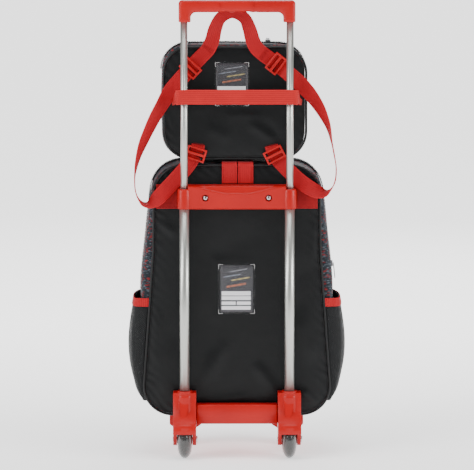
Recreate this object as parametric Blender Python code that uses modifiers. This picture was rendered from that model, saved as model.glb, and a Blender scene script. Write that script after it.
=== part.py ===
"""School backpack fixed on a two-wheel telescopic trolley, with its small matching bag on the handle.

Metres, +Z up. The trolley's tubes face -Y, the bags' fronts face +Y, and +X is on the right seen from
the trolley side. The origin lies on the floor under the middle of the bounding box.
"""

import math

import bmesh
import bpy
from mathutils import Matrix, Vector

# ---------------------------------------------------------------- driving dimensions
GAP = 0.0003                  # clearance between touching pieces
TUBE_Y = -0.07950             # plane of the two tubes, the wheels and the grip
TUBE_X = 0.0869               # half the distance between the tubes
FLOOR_Z = 0.0
SIDES = (("left", -1), ("right", 1))

GRIP_TOP_Z = 0.760
GRIP_UNDER_Z = 0.7405
GRIP_LEG_Z = 0.724
GRIP_HALF_WIDTH = 0.0957
GRIP_LEG_WIDTH = 0.0200
GRIP_DEPTH = 0.023
BUTTON_SIZE = (0.056, 0.013)
BUTTON_BOTTOM_Z = 0.7513
BUTTON_TRAVEL = 0.003
YOKE_BOTTOM_Z, YOKE_TOP_Z = 0.747, 0.751
CHANNEL_BOTTOM_Z, CHANNEL_TOP_Z = 0.743, 0.7533
ROD_RADIUS = 0.0025
ROD_END_Z = 0.353

INNER_TUBE_RADIUS, INNER_TUBE_BORE = 0.0060, 0.0048
INNER_TUBE_LOW_Z, INNER_TUBE_TOP_Z = 0.360, 0.7427
OUTER_TUBE_RADIUS, OUTER_TUBE_BORE = 0.0085, 0.0075
OUTER_TUBE_LOW_Z, OUTER_TUBE_TOP_Z = 0.0703, 0.4367
GUIDE_RADIUS = 0.0072
GUIDE_LOW_Z = 0.335
PIN_RADIUS = 0.0019
PIN_Z = 0.347

COLLAR_RADIUS = 0.0110
COLLAR_LOW_Z, COLLAR_TOP_Z = 0.417, 0.450
BRIDGE_LOW_Z, BRIDGE_TOP_Z = 0.4165, 0.4550
BRIDGE_FRONT, BRIDGE_REAR = -0.0080, 0.0155      # from the tube plane
SCREW_X, SCREW_Z = 0.052, 0.4353

WHEEL_RADIUS = 0.032
WHEEL_HALF_WIDTH = 0.0120
TYRE_SIDE_RADIUS = 0.0120     # radius at which the tread's ellipse is widest
HUB_RADIUS = 0.0155
AXLE_RADIUS = 0.0038
WELL_RADIUS = 0.0336
WELL_HALF_WIDTH = 0.0131
HOUSING_HALF_WIDTH = 0.0191
HOUSING_TOP_Z = 0.111
SOCKET_TOP_Z = 0.1135
EAR_RADIUS = 0.0105

BEAM_LOW_Z, BEAM_TOP_Z = 0.0585, 0.0910
BEAM_FRONT, BEAM_REAR = -0.0080, 0.0140
SHELF_LOW_Z, SHELF_TOP_Z = 0.0590, 0.0672
SHELF_REAR = 0.158
FOOT_Y = 0.136
FOOT_DEPTH = 0.036

WEB_WIDTH, WEB_THICK = 0.025, 0.0015            # polyester webbing
PIPING_RADIUS = 0.0022

PANEL_FRONT, PANEL_THICK = 0.0176, 0.0060       # backpack back panel, from the tube plane
PACK_BOTTOM_Z = 0.0675
PACK_REAR_Y, PACK_FRONT_Y = 0.0239, 0.1520      # backpack body: its trolley side and its outer side
PACK_HALF_WIDTH = 0.1615
PACK_TOP_Z = 0.4905
WAIST_Z = 0.290                                 # above it the backpack's sides lean in
SHOULDER_HALF_WIDTH = 0.1400
SKIN_LAYER = 0.0158                             # where bands and windows lie on the back panel
POCKET_LOW_Z, POCKET_TOP_Z = 0.104, 0.264
POCKET_YS = (0.040, 0.136)
POCKET_BULGE = 0.0165
POCKET_MOUTH = 0.0085
POCKET_WALL = 0.0012
FRONT_POCKET_DEPTH = 0.036

SLIDER_SIZE = (0.0090, 0.0100, 0.0038)          # zip slider: width, length, height
PULL_WIDTH, PULL_LENGTH, PULL_THICK = 0.0056, 0.0260, 0.0014
PULL_PIVOT = 0.0049                             # height of a zip pull's pivot above its slider's foot

ADJUSTER_LENGTH, ADJUSTER_HEIGHT, ADJUSTER_THICK = 0.0330, 0.0220, 0.0042
SLOT_LENGTH, SLOT_HEIGHT = 0.0264, 0.0058       # an adjuster's two slots
SLOT_LOWS = (-0.0080, 0.0022)
ELASTIC_HEIGHT = 0.0150                         # elastic round a side pocket's mouth

SMALL_X = -0.0030                               # the small bag hangs slightly off centre
SMALL_BOTTOM_Z = 0.4950
SMALL_PANEL_TOP_Z, SMALL_BODY_TOP_Z = 0.6815, 0.6880
SMALL_PANEL_FRONT = 0.0255
SMALL_REAR_Y, SMALL_FRONT_Y = 0.0318, 0.1130
SMALL_SKIN_LAYER = 0.0238
BAND_Z = 0.602
BAND_Y = -0.0148                                # the trolley band runs in front of the grip's path

FINISHES = {                                    # base colour, roughness, metallic
    "red_plastic": ((0.60, 0.030, 0.022), 0.38, 0.0),
    "tube_metal": ((0.62, 0.62, 0.58), 0.35, 0.9),
    "steel": ((0.55, 0.55, 0.56), 0.25, 1.0),
    "dark_plastic": ((0.03, 0.03, 0.033), 0.5, 0.0),
    "smoke_tyre": ((0.12, 0.12, 0.12), 0.3, 0.0),
    "red_webbing": ((0.62, 0.022, 0.035), 0.75, 0.0),
    "black_fabric": ((0.012, 0.013, 0.014), 0.55, 0.0),
    "print_fabric": ((0.06, 0.07, 0.09), 0.7, 0.0),
    "mesh_fabric": ((0.02, 0.02, 0.02), 0.8, 0.0),
    "clear_film": ((0.85, 0.86, 0.88), 0.15, 0.0),
    "card": ((0.55, 0.55, 0.58), 0.6, 0.0),
    "zip_metal": ((0.30, 0.30, 0.31), 0.3, 1.0),
}

for old in list(bpy.data.objects):
    bpy.data.objects.remove(old, do_unlink=True)

PARTS = bpy.data.collections.new("school_backpack_on_trolley")
CUTTERS = bpy.data.collections.new("cutters")
for collection in (PARTS, CUTTERS):
    bpy.context.scene.collection.children.link(collection)


# ---------------------------------------------------------------- modelling helpers
def tube_plane(offset):
    """World Y of a plane that lies this far behind the tubes."""
    return TUBE_Y + offset


def finish_material(name, finish):
    """A Principled material of a sub-part's own."""
    colour, roughness, metallic = FINISHES[finish]
    material = bpy.data.materials.new(f"{name}_{finish}")
    material.use_nodes = True
    shader = material.node_tree.nodes["Principled BSDF"]
    shader.inputs["Base Color"].default_value = (*colour, 1.0)
    shader.inputs["Roughness"].default_value = roughness
    shader.inputs["Metallic"].default_value = metallic
    return material


def add_object(name, data, finish=None, location=(0, 0, 0), rotation=(0, 0, 0)):
    """Put mesh or curve data in the scene: a part when it has a finish, a cutter when it has none."""
    obj = bpy.data.objects.new(name, data)
    obj.location = location
    obj.rotation_euler = rotation
    if finish:
        data.materials.append(finish_material(name, finish))
        PARTS.objects.link(obj)
    else:
        obj.hide_render = True
        obj.display_type = "WIRE"
        CUTTERS.objects.link(obj)
    return obj


def from_bmesh(name, bm, finish=None, **place):
    """Turn a bmesh into an object with its faces pointing out."""
    bmesh.ops.recalc_face_normals(bm, faces=bm.faces)
    mesh = bpy.data.meshes.new(name)
    bm.to_mesh(mesh)
    bm.free()
    return add_object(name, mesh, finish, **place)


def smooth(obj, angle=35):
    """Smooth shading with sharp edges kept."""
    obj.data.shade_smooth()
    obj.data.set_sharp_from_angle(angle=math.radians(angle))
    return obj


def box(name, low, high, finish=None):
    """A block between two corners."""
    size = Vector(high) - Vector(low)
    bm = bmesh.new()
    bmesh.ops.create_cube(bm, size=1.0)
    bmesh.ops.scale(bm, vec=size, verts=bm.verts)
    return from_bmesh(name, bm, finish, location=(Vector(high) + Vector(low)) / 2)


def cylinder(name, radius, start, end, finish=None, segments=24):
    """A round bar between two points."""
    axis = Vector(end) - Vector(start)
    bm = bmesh.new()
    bmesh.ops.create_cone(bm, cap_ends=True, segments=segments, radius1=radius, radius2=radius,
                          depth=axis.length)
    turn = axis.to_track_quat("Z", "Y").to_euler()
    return smooth(from_bmesh(name, bm, finish, location=(Vector(start) + Vector(end)) / 2, rotation=turn))


def turned(name, profile, finish, location, axis="Z", steps=32):
    """A closed profile of (radius, height) points, listed down its outer side, turned round."""
    bm = bmesh.new()
    verts = [bm.verts.new((radius, 0.0, height)) for radius, height in profile]
    for here, after in zip(verts, verts[1:] + verts[:1]):
        bm.edges.new((here, after))
    mesh = bpy.data.meshes.new(name)
    bm.to_mesh(mesh)
    bm.free()
    rotation = (0, math.radians(90), 0) if axis == "X" else (0, 0, 0)
    obj = add_object(name, mesh, finish, location, rotation)
    screw = obj.modifiers.new("turn", "SCREW")
    screw.axis = "Z"
    screw.steps = screw.render_steps = steps
    screw.use_merge_vertices = True
    screw.merge_threshold = 0.00001
    screw.use_smooth_shade = True
    return obj


def arc(centre, radius, start, end, steps):
    """Points along an arc, angles in degrees."""
    angles = [math.radians(start + (end - start) * i / steps) for i in range(steps + 1)]
    return [(centre[0] + radius * math.cos(a), centre[1] + radius * math.sin(a)) for a in angles]


def rounded(corners, steps=6):
    """An outline through (x, z, radius) corners, each rounded by an arc that touches both its sides."""
    points = []
    count = len(corners)
    for i, (x, z, radius) in enumerate(corners):
        here = Vector((x, z))
        before = (Vector(corners[i - 1][:2]) - here).normalized()
        after = (Vector(corners[(i + 1) % count][:2]) - here).normalized()
        if radius <= 0:
            points.append((x, z))
            continue
        half = before.angle(after) / 2
        centre = here + (before + after).normalized() * (radius / math.sin(half))
        first = here + before * (radius / math.tan(half)) - centre
        sweep = (math.pi - 2 * half) * (1 if before.cross(after) < 0 else -1)
        for k in range(steps + 1):
            turn = Matrix.Rotation(sweep * k / steps, 2)
            spot = centre + turn @ first
            points.append((spot.x, spot.y))
    return points


def mirrored(half):
    """A whole list of corners from its +X half, which runs from the bottom up."""
    return half + [(-x, z, radius) for x, z, radius in reversed(half)]


def plate(name, outline, low, high, finish=None, plane="XZ", holes=()):
    """A flat outline, with holes, made solid between two levels across its plane."""
    curve = bpy.data.curves.new(name, "CURVE")
    curve.dimensions = "2D"
    curve.fill_mode = "BOTH"
    curve.extrude = (high - low) / 2
    for ring in (outline, *holes):
        spline = curve.splines.new("POLY")
        spline.points.add(len(ring) - 1)
        for point, (u, v) in zip(spline.points, ring):
            point.co = (u, v, 0, 1)
        spline.use_cyclic_u = True
    middle = (high + low) / 2
    if plane == "XZ":
        turn = Matrix.Translation((0, middle, 0)) @ Matrix.Rotation(math.radians(90), 4, "X")
    elif plane == "YZ":
        turn = Matrix.Translation((middle, 0, 0)) @ Matrix(((0, 0, 1, 0), (1, 0, 0, 0),
                                                            (0, 1, 0, 0), (0, 0, 0, 1)))
    else:
        turn = Matrix.Translation((0, 0, middle))
    flat = bpy.data.objects.new(name + "_outline", curve)
    CUTTERS.objects.link(flat)
    flat.matrix_world = turn
    return to_mesh(flat, name, finish)


def to_mesh(curve_object, name, finish):
    """Replace a curve by its welded mesh, in the same place."""
    bpy.context.view_layer.update()
    graph = bpy.context.evaluated_depsgraph_get()
    mesh = bpy.data.meshes.new_from_object(curve_object.evaluated_get(graph))
    mesh.name = name
    bm = bmesh.new()
    bm.from_mesh(mesh)
    bmesh.ops.remove_doubles(bm, verts=bm.verts, dist=0.00002)
    bmesh.ops.transform(bm, matrix=curve_object.matrix_world, verts=bm.verts)
    bpy.data.objects.remove(curve_object, do_unlink=True)
    return from_bmesh(name, bm, finish)


def bevel(obj, width, segments=2, angle=40):
    """Round an object's edges."""
    mod = obj.modifiers.new("round", "BEVEL")
    mod.width = width
    mod.segments = segments
    mod.limit_method = "ANGLE"
    mod.angle_limit = math.radians(angle)
    mod.use_clamp_overlap = True
    return obj


def boolean(obj, tool, operation="DIFFERENCE"):
    """Cut a tool from an object, or join it on."""
    mod = obj.modifiers.new(tool.name, "BOOLEAN")
    mod.operation = operation
    mod.solver = "EXACT"
    mod.object = tool
    return obj


def piping(name, outline, y, finish):
    """A sewn cord edging that follows a panel's outline."""
    curve = bpy.data.curves.new(name, "CURVE")
    curve.dimensions = "3D"
    curve.bevel_depth = PIPING_RADIUS
    curve.bevel_resolution = 1
    spline = curve.splines.new("POLY")
    spline.points.add(len(outline) - 1)
    for point, (x, z) in zip(spline.points, outline):
        point.co = (x, y, z, 1)
    spline.use_cyclic_u = True
    return add_object(name, curve, finish)


def smooth_path(stations, steps):
    """Centre points and width directions read from one smooth curve through the stations."""
    whole = [(Vector(point), Vector(across)) for point, across in stations]
    whole = [whole[0]] + whole + [whole[-1]]
    rows = []
    for a, b, c, d in zip(whole, whole[1:], whole[2:], whole[3:]):
        for k in range(steps):
            t = k / steps
            blend = [0.5 * (2 * b[i] + (c[i] - a[i]) * t + (2 * a[i] - 5 * b[i] + 4 * c[i] - d[i]) * t**2
                            + (3 * b[i] - a[i] - 3 * c[i] + d[i]) * t**3) for i in range(2)]
            rows.append(blend)
    rows.append(list(whole[-1]))
    return rows


def ribbon(name, stations, finish, width=WEB_WIDTH, thick=WEB_THICK, steps=3):
    """Flat webbing along a path. Each station is a point and the direction of the webbing's width."""
    rows = smooth_path(stations, steps)
    bm = bmesh.new()
    bmesh.ops.create_grid(bm, x_segments=len(rows) - 1, y_segments=1, size=0.5)
    bm.verts.ensure_lookup_table()
    ordered = sorted(bm.verts, key=lambda vert: (round(vert.co.x, 5), vert.co.y))
    for i, (centre, across) in enumerate(rows):
        before, after = rows[max(i - 1, 0)][0], rows[min(i + 1, len(rows) - 1)][0]
        run = (after - before).normalized()
        side = (across - run * across.dot(run)).normalized() * (width / 2)
        ordered[2 * i].co = centre - side
        ordered[2 * i + 1].co = centre + side
    obj = from_bmesh(name, bm, finish)
    shell = obj.modifiers.new("thickness", "SOLIDIFY")
    shell.thickness = thick
    shell.offset = 0
    shell.use_even_offset = True
    return obj


def shift(points, x=0.0, y=0.0):
    """Move an outline in its own plane."""
    return [(u + x, v + y) for u, v in points]


# ---------------------------------------------------------------- trolley: handle
def build_grip():
    """The moulded grip with its two legs, the button's pocket and the yoke's channel."""
    inner = GRIP_HALF_WIDTH - GRIP_LEG_WIDTH
    half = [(inner, GRIP_UNDER_Z, 0.009), (inner, GRIP_LEG_Z, 0.002),
            (GRIP_HALF_WIDTH, GRIP_LEG_Z, 0.002), (GRIP_HALF_WIDTH, GRIP_TOP_Z, 0.007)]
    outline = rounded(mirrored(half), steps=4)
    grip = plate("grip_body", outline, tube_plane(-GRIP_DEPTH / 2), tube_plane(GRIP_DEPTH / 2),
                 "red_plastic")
    bevel(grip, 0.0045, segments=3)
    length, depth = BUTTON_SIZE
    pocket_floor = BUTTON_BOTTOM_Z - BUTTON_TRAVEL - GAP
    pocket = box("button_pocket", (-length / 2 - GAP, tube_plane(-depth / 2 - GAP), pocket_floor),
                 (length / 2 + GAP, tube_plane(depth / 2 + GAP), GRIP_TOP_Z + 0.01))
    reach = TUBE_X + 0.0035
    channel = box("yoke_channel", (-reach, tube_plane(-0.0040), CHANNEL_BOTTOM_Z),
                  (reach, tube_plane(0.0040), CHANNEL_TOP_Z))
    boolean(grip, pocket)
    boolean(grip, channel)
    for side, sign in SIDES:
        socket = cylinder(f"grip_socket_{side}", INNER_TUBE_RADIUS + GAP,
                          (sign * TUBE_X, TUBE_Y, GRIP_LEG_Z - 0.01),
                          (sign * TUBE_X, TUBE_Y, CHANNEL_BOTTOM_Z + 0.0001))
        boolean(grip, socket)
    return grip


def build_release():
    """The button on top of the grip, and the yoke whose rods run down inside the inner tubes."""
    length, depth = BUTTON_SIZE
    button = box("release_button", (-length / 2, tube_plane(-depth / 2), BUTTON_BOTTOM_Z),
                 (length / 2, tube_plane(depth / 2), GRIP_TOP_Z - 0.0002), "red_plastic")
    bevel(button, 0.0015)
    reach = TUBE_X + 0.0028
    yoke = box("release_yoke", (-reach, tube_plane(-0.0030), YOKE_BOTTOM_Z),
               (reach, tube_plane(0.0030), YOKE_TOP_Z), "steel")
    for side, sign in SIDES:
        rod = cylinder(f"push_rod_{side}", ROD_RADIUS, (sign * TUBE_X, TUBE_Y, ROD_END_Z),
                       (sign * TUBE_X, TUBE_Y, YOKE_BOTTOM_Z + 0.001), segments=12)
        boolean(yoke, rod, "UNION")


def build_handle_tubes():
    """Inner tubes with their lower guides and lock pins, and the outer tubes that they slide in."""
    for side, sign in SIDES:
        x = sign * TUBE_X
        turned(f"inner_tube_{side}",
               [(INNER_TUBE_RADIUS, INNER_TUBE_TOP_Z), (INNER_TUBE_RADIUS, INNER_TUBE_LOW_Z),
                (INNER_TUBE_BORE, INNER_TUBE_LOW_Z), (INNER_TUBE_BORE, INNER_TUBE_TOP_Z)],
               "tube_metal", (x, TUBE_Y, 0), steps=24)
        turned(f"outer_tube_{side}",
               [(OUTER_TUBE_RADIUS, OUTER_TUBE_TOP_Z), (OUTER_TUBE_RADIUS, OUTER_TUBE_LOW_Z),
                (OUTER_TUBE_BORE, OUTER_TUBE_LOW_Z), (OUTER_TUBE_BORE, OUTER_TUBE_TOP_Z)],
               "tube_metal", (x, TUBE_Y, 0), steps=24)
        guide = cylinder(f"tube_guide_{side}", GUIDE_RADIUS, (x, TUBE_Y, GUIDE_LOW_Z),
                         (x, TUBE_Y, INNER_TUBE_LOW_Z - GAP), "dark_plastic")
        bore = cylinder(f"guide_bore_{side}", ROD_RADIUS + 0.0006, (x, TUBE_Y, PIN_Z),
                        (x, TUBE_Y, INNER_TUBE_LOW_Z + 0.01), segments=16)
        pin_hole = cylinder(f"pin_hole_{side}", PIN_RADIUS + GAP, (x - sign * 0.0012, TUBE_Y, PIN_Z),
                            (x + sign * 0.012, TUBE_Y, PIN_Z), segments=16)
        boolean(guide, bore)
        boolean(guide, pin_hole)
        cylinder(f"lock_pin_{side}", PIN_RADIUS, (x + sign * 0.0009, TUBE_Y, PIN_Z),
                 (x + sign * GUIDE_RADIUS, TUBE_Y, PIN_Z), "steel", segments=12)


def build_bridge():
    """The collars on the outer tubes and the bridge that joins them, screwed to the backpack."""
    bridge = box("tube_bridge", (-TUBE_X + 0.004, tube_plane(BRIDGE_FRONT), BRIDGE_LOW_Z),
                 (TUBE_X - 0.004, tube_plane(BRIDGE_REAR), BRIDGE_TOP_Z), "red_plastic")
    bevel(bridge, 0.0025)
    for side, sign in SIDES:
        x = sign * TUBE_X
        boolean(bridge, cylinder(f"collar_{side}", COLLAR_RADIUS, (x, TUBE_Y, COLLAR_LOW_Z),
                                 (x, TUBE_Y, COLLAR_TOP_Z)), "UNION")
        boolean(bridge, cylinder(f"collar_bore_{side}", OUTER_TUBE_RADIUS + GAP,
                                 (x, TUBE_Y, COLLAR_LOW_Z - 0.01), (x, TUBE_Y, OUTER_TUBE_TOP_Z + GAP)))
        boolean(bridge, cylinder(f"collar_throat_{side}", INNER_TUBE_RADIUS + 0.0006,
                                 (x, TUBE_Y, COLLAR_LOW_Z), (x, TUBE_Y, COLLAR_TOP_Z + 0.02)))
        hole_x = sign * SCREW_X
        boolean(bridge, cylinder(f"screw_seat_{side}", 0.0052,
                                 (hole_x, tube_plane(BRIDGE_FRONT - 0.01), SCREW_Z),
                                 (hole_x, tube_plane(BRIDGE_FRONT + 0.006), SCREW_Z)))
        boolean(bridge, cylinder(f"screw_bore_{side}", 0.0024,
                                 (hole_x, tube_plane(BRIDGE_FRONT), SCREW_Z),
                                 (hole_x, tube_plane(BRIDGE_REAR + 0.01), SCREW_Z), segments=16))
        head_y, tip_y = BRIDGE_FRONT + 0.0028, BRIDGE_REAR
        screw = turned(f"bridge_screw_{side}",
                       [(0.0, 0.0), (0.0030, 0.0), (0.0042, -0.0010), (0.0042, -0.0028),
                        (0.0020, -0.0028), (0.0020, head_y - tip_y), (0.0, head_y - tip_y)],
                       "steel", (hole_x, tube_plane(head_y), SCREW_Z), steps=16)
        screw.rotation_euler = (math.radians(90), 0, 0)


# ---------------------------------------------------------------- trolley: base and wheels
def housing_profile():
    """Side outline of a wheel housing: tube block on top, a fender in front, an ear round the axle."""
    axle = (TUBE_Y, WHEEL_RADIUS)
    ear = arc(axle, EAR_RADIUS, 180, 360, 8)
    return ([(tube_plane(0.0165), HOUSING_TOP_Z), (tube_plane(-0.0100), HOUSING_TOP_Z),
             (tube_plane(-0.0120), 0.0800), (tube_plane(-0.0300), 0.0640),
             (tube_plane(-0.0350), 0.0560), (tube_plane(-0.0352), 0.0455),
             (tube_plane(-0.0200), 0.0455)] + ear +
            [(tube_plane(0.0200), 0.0460), (tube_plane(0.0240), 0.0500),
             (tube_plane(0.0240), SHELF_TOP_Z - 0.0010), (tube_plane(0.0165), SHELF_TOP_Z - 0.0010)])


def build_wheel_unit(side, sign):
    """One housing with its axle, wheel core and tyre."""
    x = sign * TUBE_X
    housing = plate(f"wheel_housing_{side}", housing_profile(), x - HOUSING_HALF_WIDTH,
                    x + HOUSING_HALF_WIDTH, "red_plastic", plane="YZ")
    bevel(housing, 0.0018, angle=50)
    boss = cylinder(f"tube_boss_{side}", OUTER_TUBE_RADIUS + 0.0042, (x, TUBE_Y, 0.0660),
                    (x, TUBE_Y, SOCKET_TOP_Z))
    boolean(housing, boss, "UNION")
    axle_z = WHEEL_RADIUS
    well = cylinder(f"wheel_well_{side}", WELL_RADIUS, (x - WELL_HALF_WIDTH, TUBE_Y, axle_z),
                    (x + WELL_HALF_WIDTH, TUBE_Y, axle_z), segments=40)
    socket = cylinder(f"tube_socket_{side}", OUTER_TUBE_RADIUS + GAP, (x, TUBE_Y, OUTER_TUBE_LOW_Z - GAP),
                      (x, TUBE_Y, SOCKET_TOP_Z + 0.01))
    axle_hole = cylinder(f"axle_hole_{side}", AXLE_RADIUS + GAP, (x - 0.03, TUBE_Y, axle_z),
                         (x + 0.03, TUBE_Y, axle_z))
    for tool in (well, socket, axle_hole):
        boolean(housing, tool)
    head = HOUSING_HALF_WIDTH + GAP
    turned(f"axle_{side}",
           [(0.0, head + 0.0020), (0.0045, head + 0.0020), (0.0055, head + 0.0008), (0.0055, head),
            (AXLE_RADIUS, head), (AXLE_RADIUS, -head - 0.0006), (0.0, -head - 0.0006)],
           "steel", (x, TUBE_Y, axle_z), axis="X", steps=24)
    bore = AXLE_RADIUS + GAP
    turned(f"wheel_core_{side}",
           [(0.0074, 0.0127), (0.0074, 0.0112), (HUB_RADIUS, 0.0105), (HUB_RADIUS, -0.0105),
            (0.0074, -0.0112), (0.0074, -0.0127), (bore, -0.0127), (bore, 0.0127)],
           "dark_plastic", (x, TUBE_Y, axle_z), axis="X", steps=24)
    inside = HUB_RADIUS + GAP
    rise = WHEEL_RADIUS - TYRE_SIDE_RADIUS
    lip = WHEEL_HALF_WIDTH * math.sqrt(1 - ((inside - TYRE_SIDE_RADIUS) / rise) ** 2)
    tread = []
    steps = 8
    for i in range(steps + 1):
        across = lip * math.cos(math.pi * i / steps)
        radius = TYRE_SIDE_RADIUS + rise * math.sqrt(max(1 - (across / WHEEL_HALF_WIDTH) ** 2, 0))
        tread.append((radius, across))
    turned(f"tyre_{side}", tread, "smoke_tyre", (x, TUBE_Y, axle_z), axis="X", steps=36)


def build_base():
    """The cross beam, the shelf under the backpack and the two front feet."""
    beam_end = TUBE_X - HOUSING_HALF_WIDTH - GAP
    bevel(box("base_beam", (-beam_end, tube_plane(BEAM_FRONT), BEAM_LOW_Z),
              (beam_end, tube_plane(BEAM_REAR), BEAM_TOP_Z), "red_plastic"), 0.0022)
    near, wide = tube_plane(BEAM_REAR + GAP), tube_plane(0.0243)
    half = [(beam_end - 0.001, near, 0.0), (beam_end - 0.001, wide, 0.0), (0.1040, wide, 0.003),
            (0.1000, tube_plane(SHELF_REAR), 0.015)]
    shelf = plate("base_shelf", rounded(mirrored(half), steps=4), SHELF_LOW_Z, SHELF_TOP_Z, "red_plastic",
                  plane="XY")
    bevel(shelf, 0.0015, segments=1, angle=60)
    top = SHELF_LOW_Z - GAP
    foot_half = [(0.0110, FLOOR_Z, 0.001), (0.0125, 0.0260, 0.004), (0.0270, 0.0350, 0.004),
                 (0.0270, top, 0.0)]
    for side, sign in SIDES:
        outline = shift(rounded(mirrored(foot_half), steps=2), x=sign * TUBE_X)
        plate(f"front_foot_{side}", outline, tube_plane(FOOT_Y - FOOT_DEPTH / 2),
              tube_plane(FOOT_Y + FOOT_DEPTH / 2), "red_plastic")
        build_wheel_unit(side, sign)


# ---------------------------------------------------------------- backpack
def pack_panel_outline(inset=0.0, steps=8):
    """Back panel of the backpack: round lower corners, sides that lean in, round shoulders."""
    half = [(0.1585 - inset, PACK_BOTTOM_Z + 0.0025 + inset, 0.048 - inset), (0.1385 - inset, 0.345, 0.2),
            (0.1365 - inset, 0.4870 - inset, 0.050 - inset)]
    return rounded(mirrored(half), steps)


def pack_body_outline(steps=8):
    """Outer contour of the backpack's gusset."""
    half = [(PACK_HALF_WIDTH, PACK_BOTTOM_Z, 0.050), (PACK_HALF_WIDTH, WAIST_Z, 0.150),
            (SHOULDER_HALF_WIDTH, PACK_TOP_Z, 0.055)]
    return rounded(mirrored(half), steps)


def build_backpack():
    """The backpack's soft solids, all plain and closed."""
    body = plate("backpack_body", pack_body_outline(), tube_plane(PACK_REAR_Y), tube_plane(PACK_FRONT_Y),
                 "print_fabric")
    bevel(body, 0.016, segments=3, angle=60)
    panel_back = PANEL_FRONT + PANEL_THICK
    panel = plate("backpack_back_panel", pack_panel_outline(inset=PIPING_RADIUS + 2 * GAP),
                  tube_plane(PANEL_FRONT), tube_plane(panel_back), "black_fabric")
    bevel(panel, 0.0015, segments=1, angle=60)
    piping("backpack_piping", pack_panel_outline(), tube_plane(PANEL_FRONT + 0.0030), "black_fabric")
    box("backpack_band", (-0.1365 + 0.003, tube_plane(SKIN_LAYER), 0.4155),
        (0.1365 - 0.003, tube_plane(SKIN_LAYER + WEB_THICK), 0.4560), "red_webbing")
    half = [(0.125, 0.088, 0.045), (0.128, 0.318, 0.045)]
    pocket = plate("front_pocket", rounded(mirrored(half), steps=8), tube_plane(PACK_FRONT_Y + GAP),
                   tube_plane(PACK_FRONT_Y + GAP + FRONT_POCKET_DEPTH), "print_fabric")
    bevel(pocket, 0.012, segments=3, angle=60)
    build_pack_loop()
    build_window("backpack", -0.0006, 0.2815, (0.0624, 0.0850), (0.0543, 0.0784), SKIN_LAYER)


def build_pack_loop():
    """Haul loop of the backpack, sewn up the panel and folded flat over the top under the small bag."""
    y, up = tube_plane(SKIN_LAYER + WEB_THICK / 2), (1, 0, 0)
    top = PACK_TOP_Z + GAP + WEB_THICK / 2 + 0.0004
    legs = (-0.0122, 0.0145)
    arch_y = tube_plane(0.066)
    first = [((legs[0], y, 0.4575), up), ((legs[0], y, 0.4700), up), ((legs[0], y, 0.4840), up),
             ((legs[0], tube_plane(0.0185), top - 0.0012), up), ((legs[0], tube_plane(0.030), top), up),
             ((legs[0], tube_plane(0.046), top), up)]
    turn_steps = 6
    middle, radius = sum(legs) / 2, (legs[1] - legs[0]) / 2
    centre = Vector((middle, arch_y, top))
    bend = []
    for i in range(turn_steps + 1):
        angle = math.pi * (1 - i / turn_steps)
        out = Vector((math.cos(angle), math.sin(angle), 0))
        bend.append((centre + out * radius, -out))
    last = [((legs[1], point[1], point[2]), (-1, 0, 0)) for (point, _) in reversed(first)]
    ribbon("backpack_haul_loop", first + bend + last, "red_webbing", steps=1)


def build_window(owner, x, z, film, card, layer):
    """A name card behind its clear window."""
    for name, (width, height), front, thick, finish in (
            (f"{owner}_id_window", film, layer, 0.0006, "clear_film"),
            (f"{owner}_id_card", card, layer + 0.0009, 0.0005, "card")):
        box(name, (x - width / 2, tube_plane(front), z - height / 2),
            (x + width / 2, tube_plane(front + thick), z + height / 2), finish)


def pocket_depth(along, up):
    """How far a side pocket stands off the gusset, for shares of its length and height."""
    mouth = POCKET_MOUTH * up
    belly = max(math.sin(math.pi * up), 0.0) * (POCKET_BULGE - mouth / 2)
    return (1 - abs(2 * along - 1) ** 4) * (belly + mouth)


def build_side_pockets():
    """Mesh pockets on the gussets, open on top, and the elastic that binds their mouths."""
    columns, rows = 12, 8
    length = POCKET_YS[1] - POCKET_YS[0]
    for side, sign in SIDES:
        bm = bmesh.new()
        bmesh.ops.create_grid(bm, x_segments=columns, y_segments=rows, size=0.5)
        for vert in bm.verts:
            along, up = vert.co.x + 0.5, vert.co.y + 0.5
            stand = PACK_HALF_WIDTH + GAP + POCKET_WALL + pocket_depth(along, up)
            vert.co = (sign * stand, tube_plane(POCKET_YS[0] + along * length),
                       POCKET_LOW_Z + up * (POCKET_TOP_Z - POCKET_LOW_Z))
        pocket = from_bmesh(f"mesh_pocket_{side}", bm, "mesh_fabric")
        shell = pocket.modifiers.new("wall", "SOLIDIFY")
        shell.thickness = POCKET_WALL
        shell.offset = 0
        below = 0.4 * ELASTIC_HEIGHT
        middle_up = 1 - below / (POCKET_TOP_Z - POCKET_LOW_Z)
        stations = []
        for i in range(columns + 1):
            along = i / columns
            depth = pocket_depth(along, middle_up)
            lean = pocket_depth(along, 1.0) - depth
            stand = PACK_HALF_WIDTH + 5 * GAP + 2 * POCKET_WALL + depth
            point = (sign * stand, tube_plane(POCKET_YS[0] + along * length), POCKET_TOP_Z - below)
            stations.append((point, (sign * lean, 0, below)))
        ribbon(f"pocket_elastic_{side}", stations, "red_webbing", width=ELASTIC_HEIGHT, thick=0.0012,
               steps=1)


# ---------------------------------------------------------------- small bag
def small_panel_outline(inset=0.0, steps=6):
    """Back panel of the small bag."""
    half = [(0.1175 - inset, SMALL_BOTTOM_Z + 0.0025 + inset, 0.045 - inset),
            (0.1175 - inset, SMALL_PANEL_TOP_Z - inset, 0.042 - inset)]
    return shift(rounded(mirrored(half), steps), x=SMALL_X)


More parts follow.
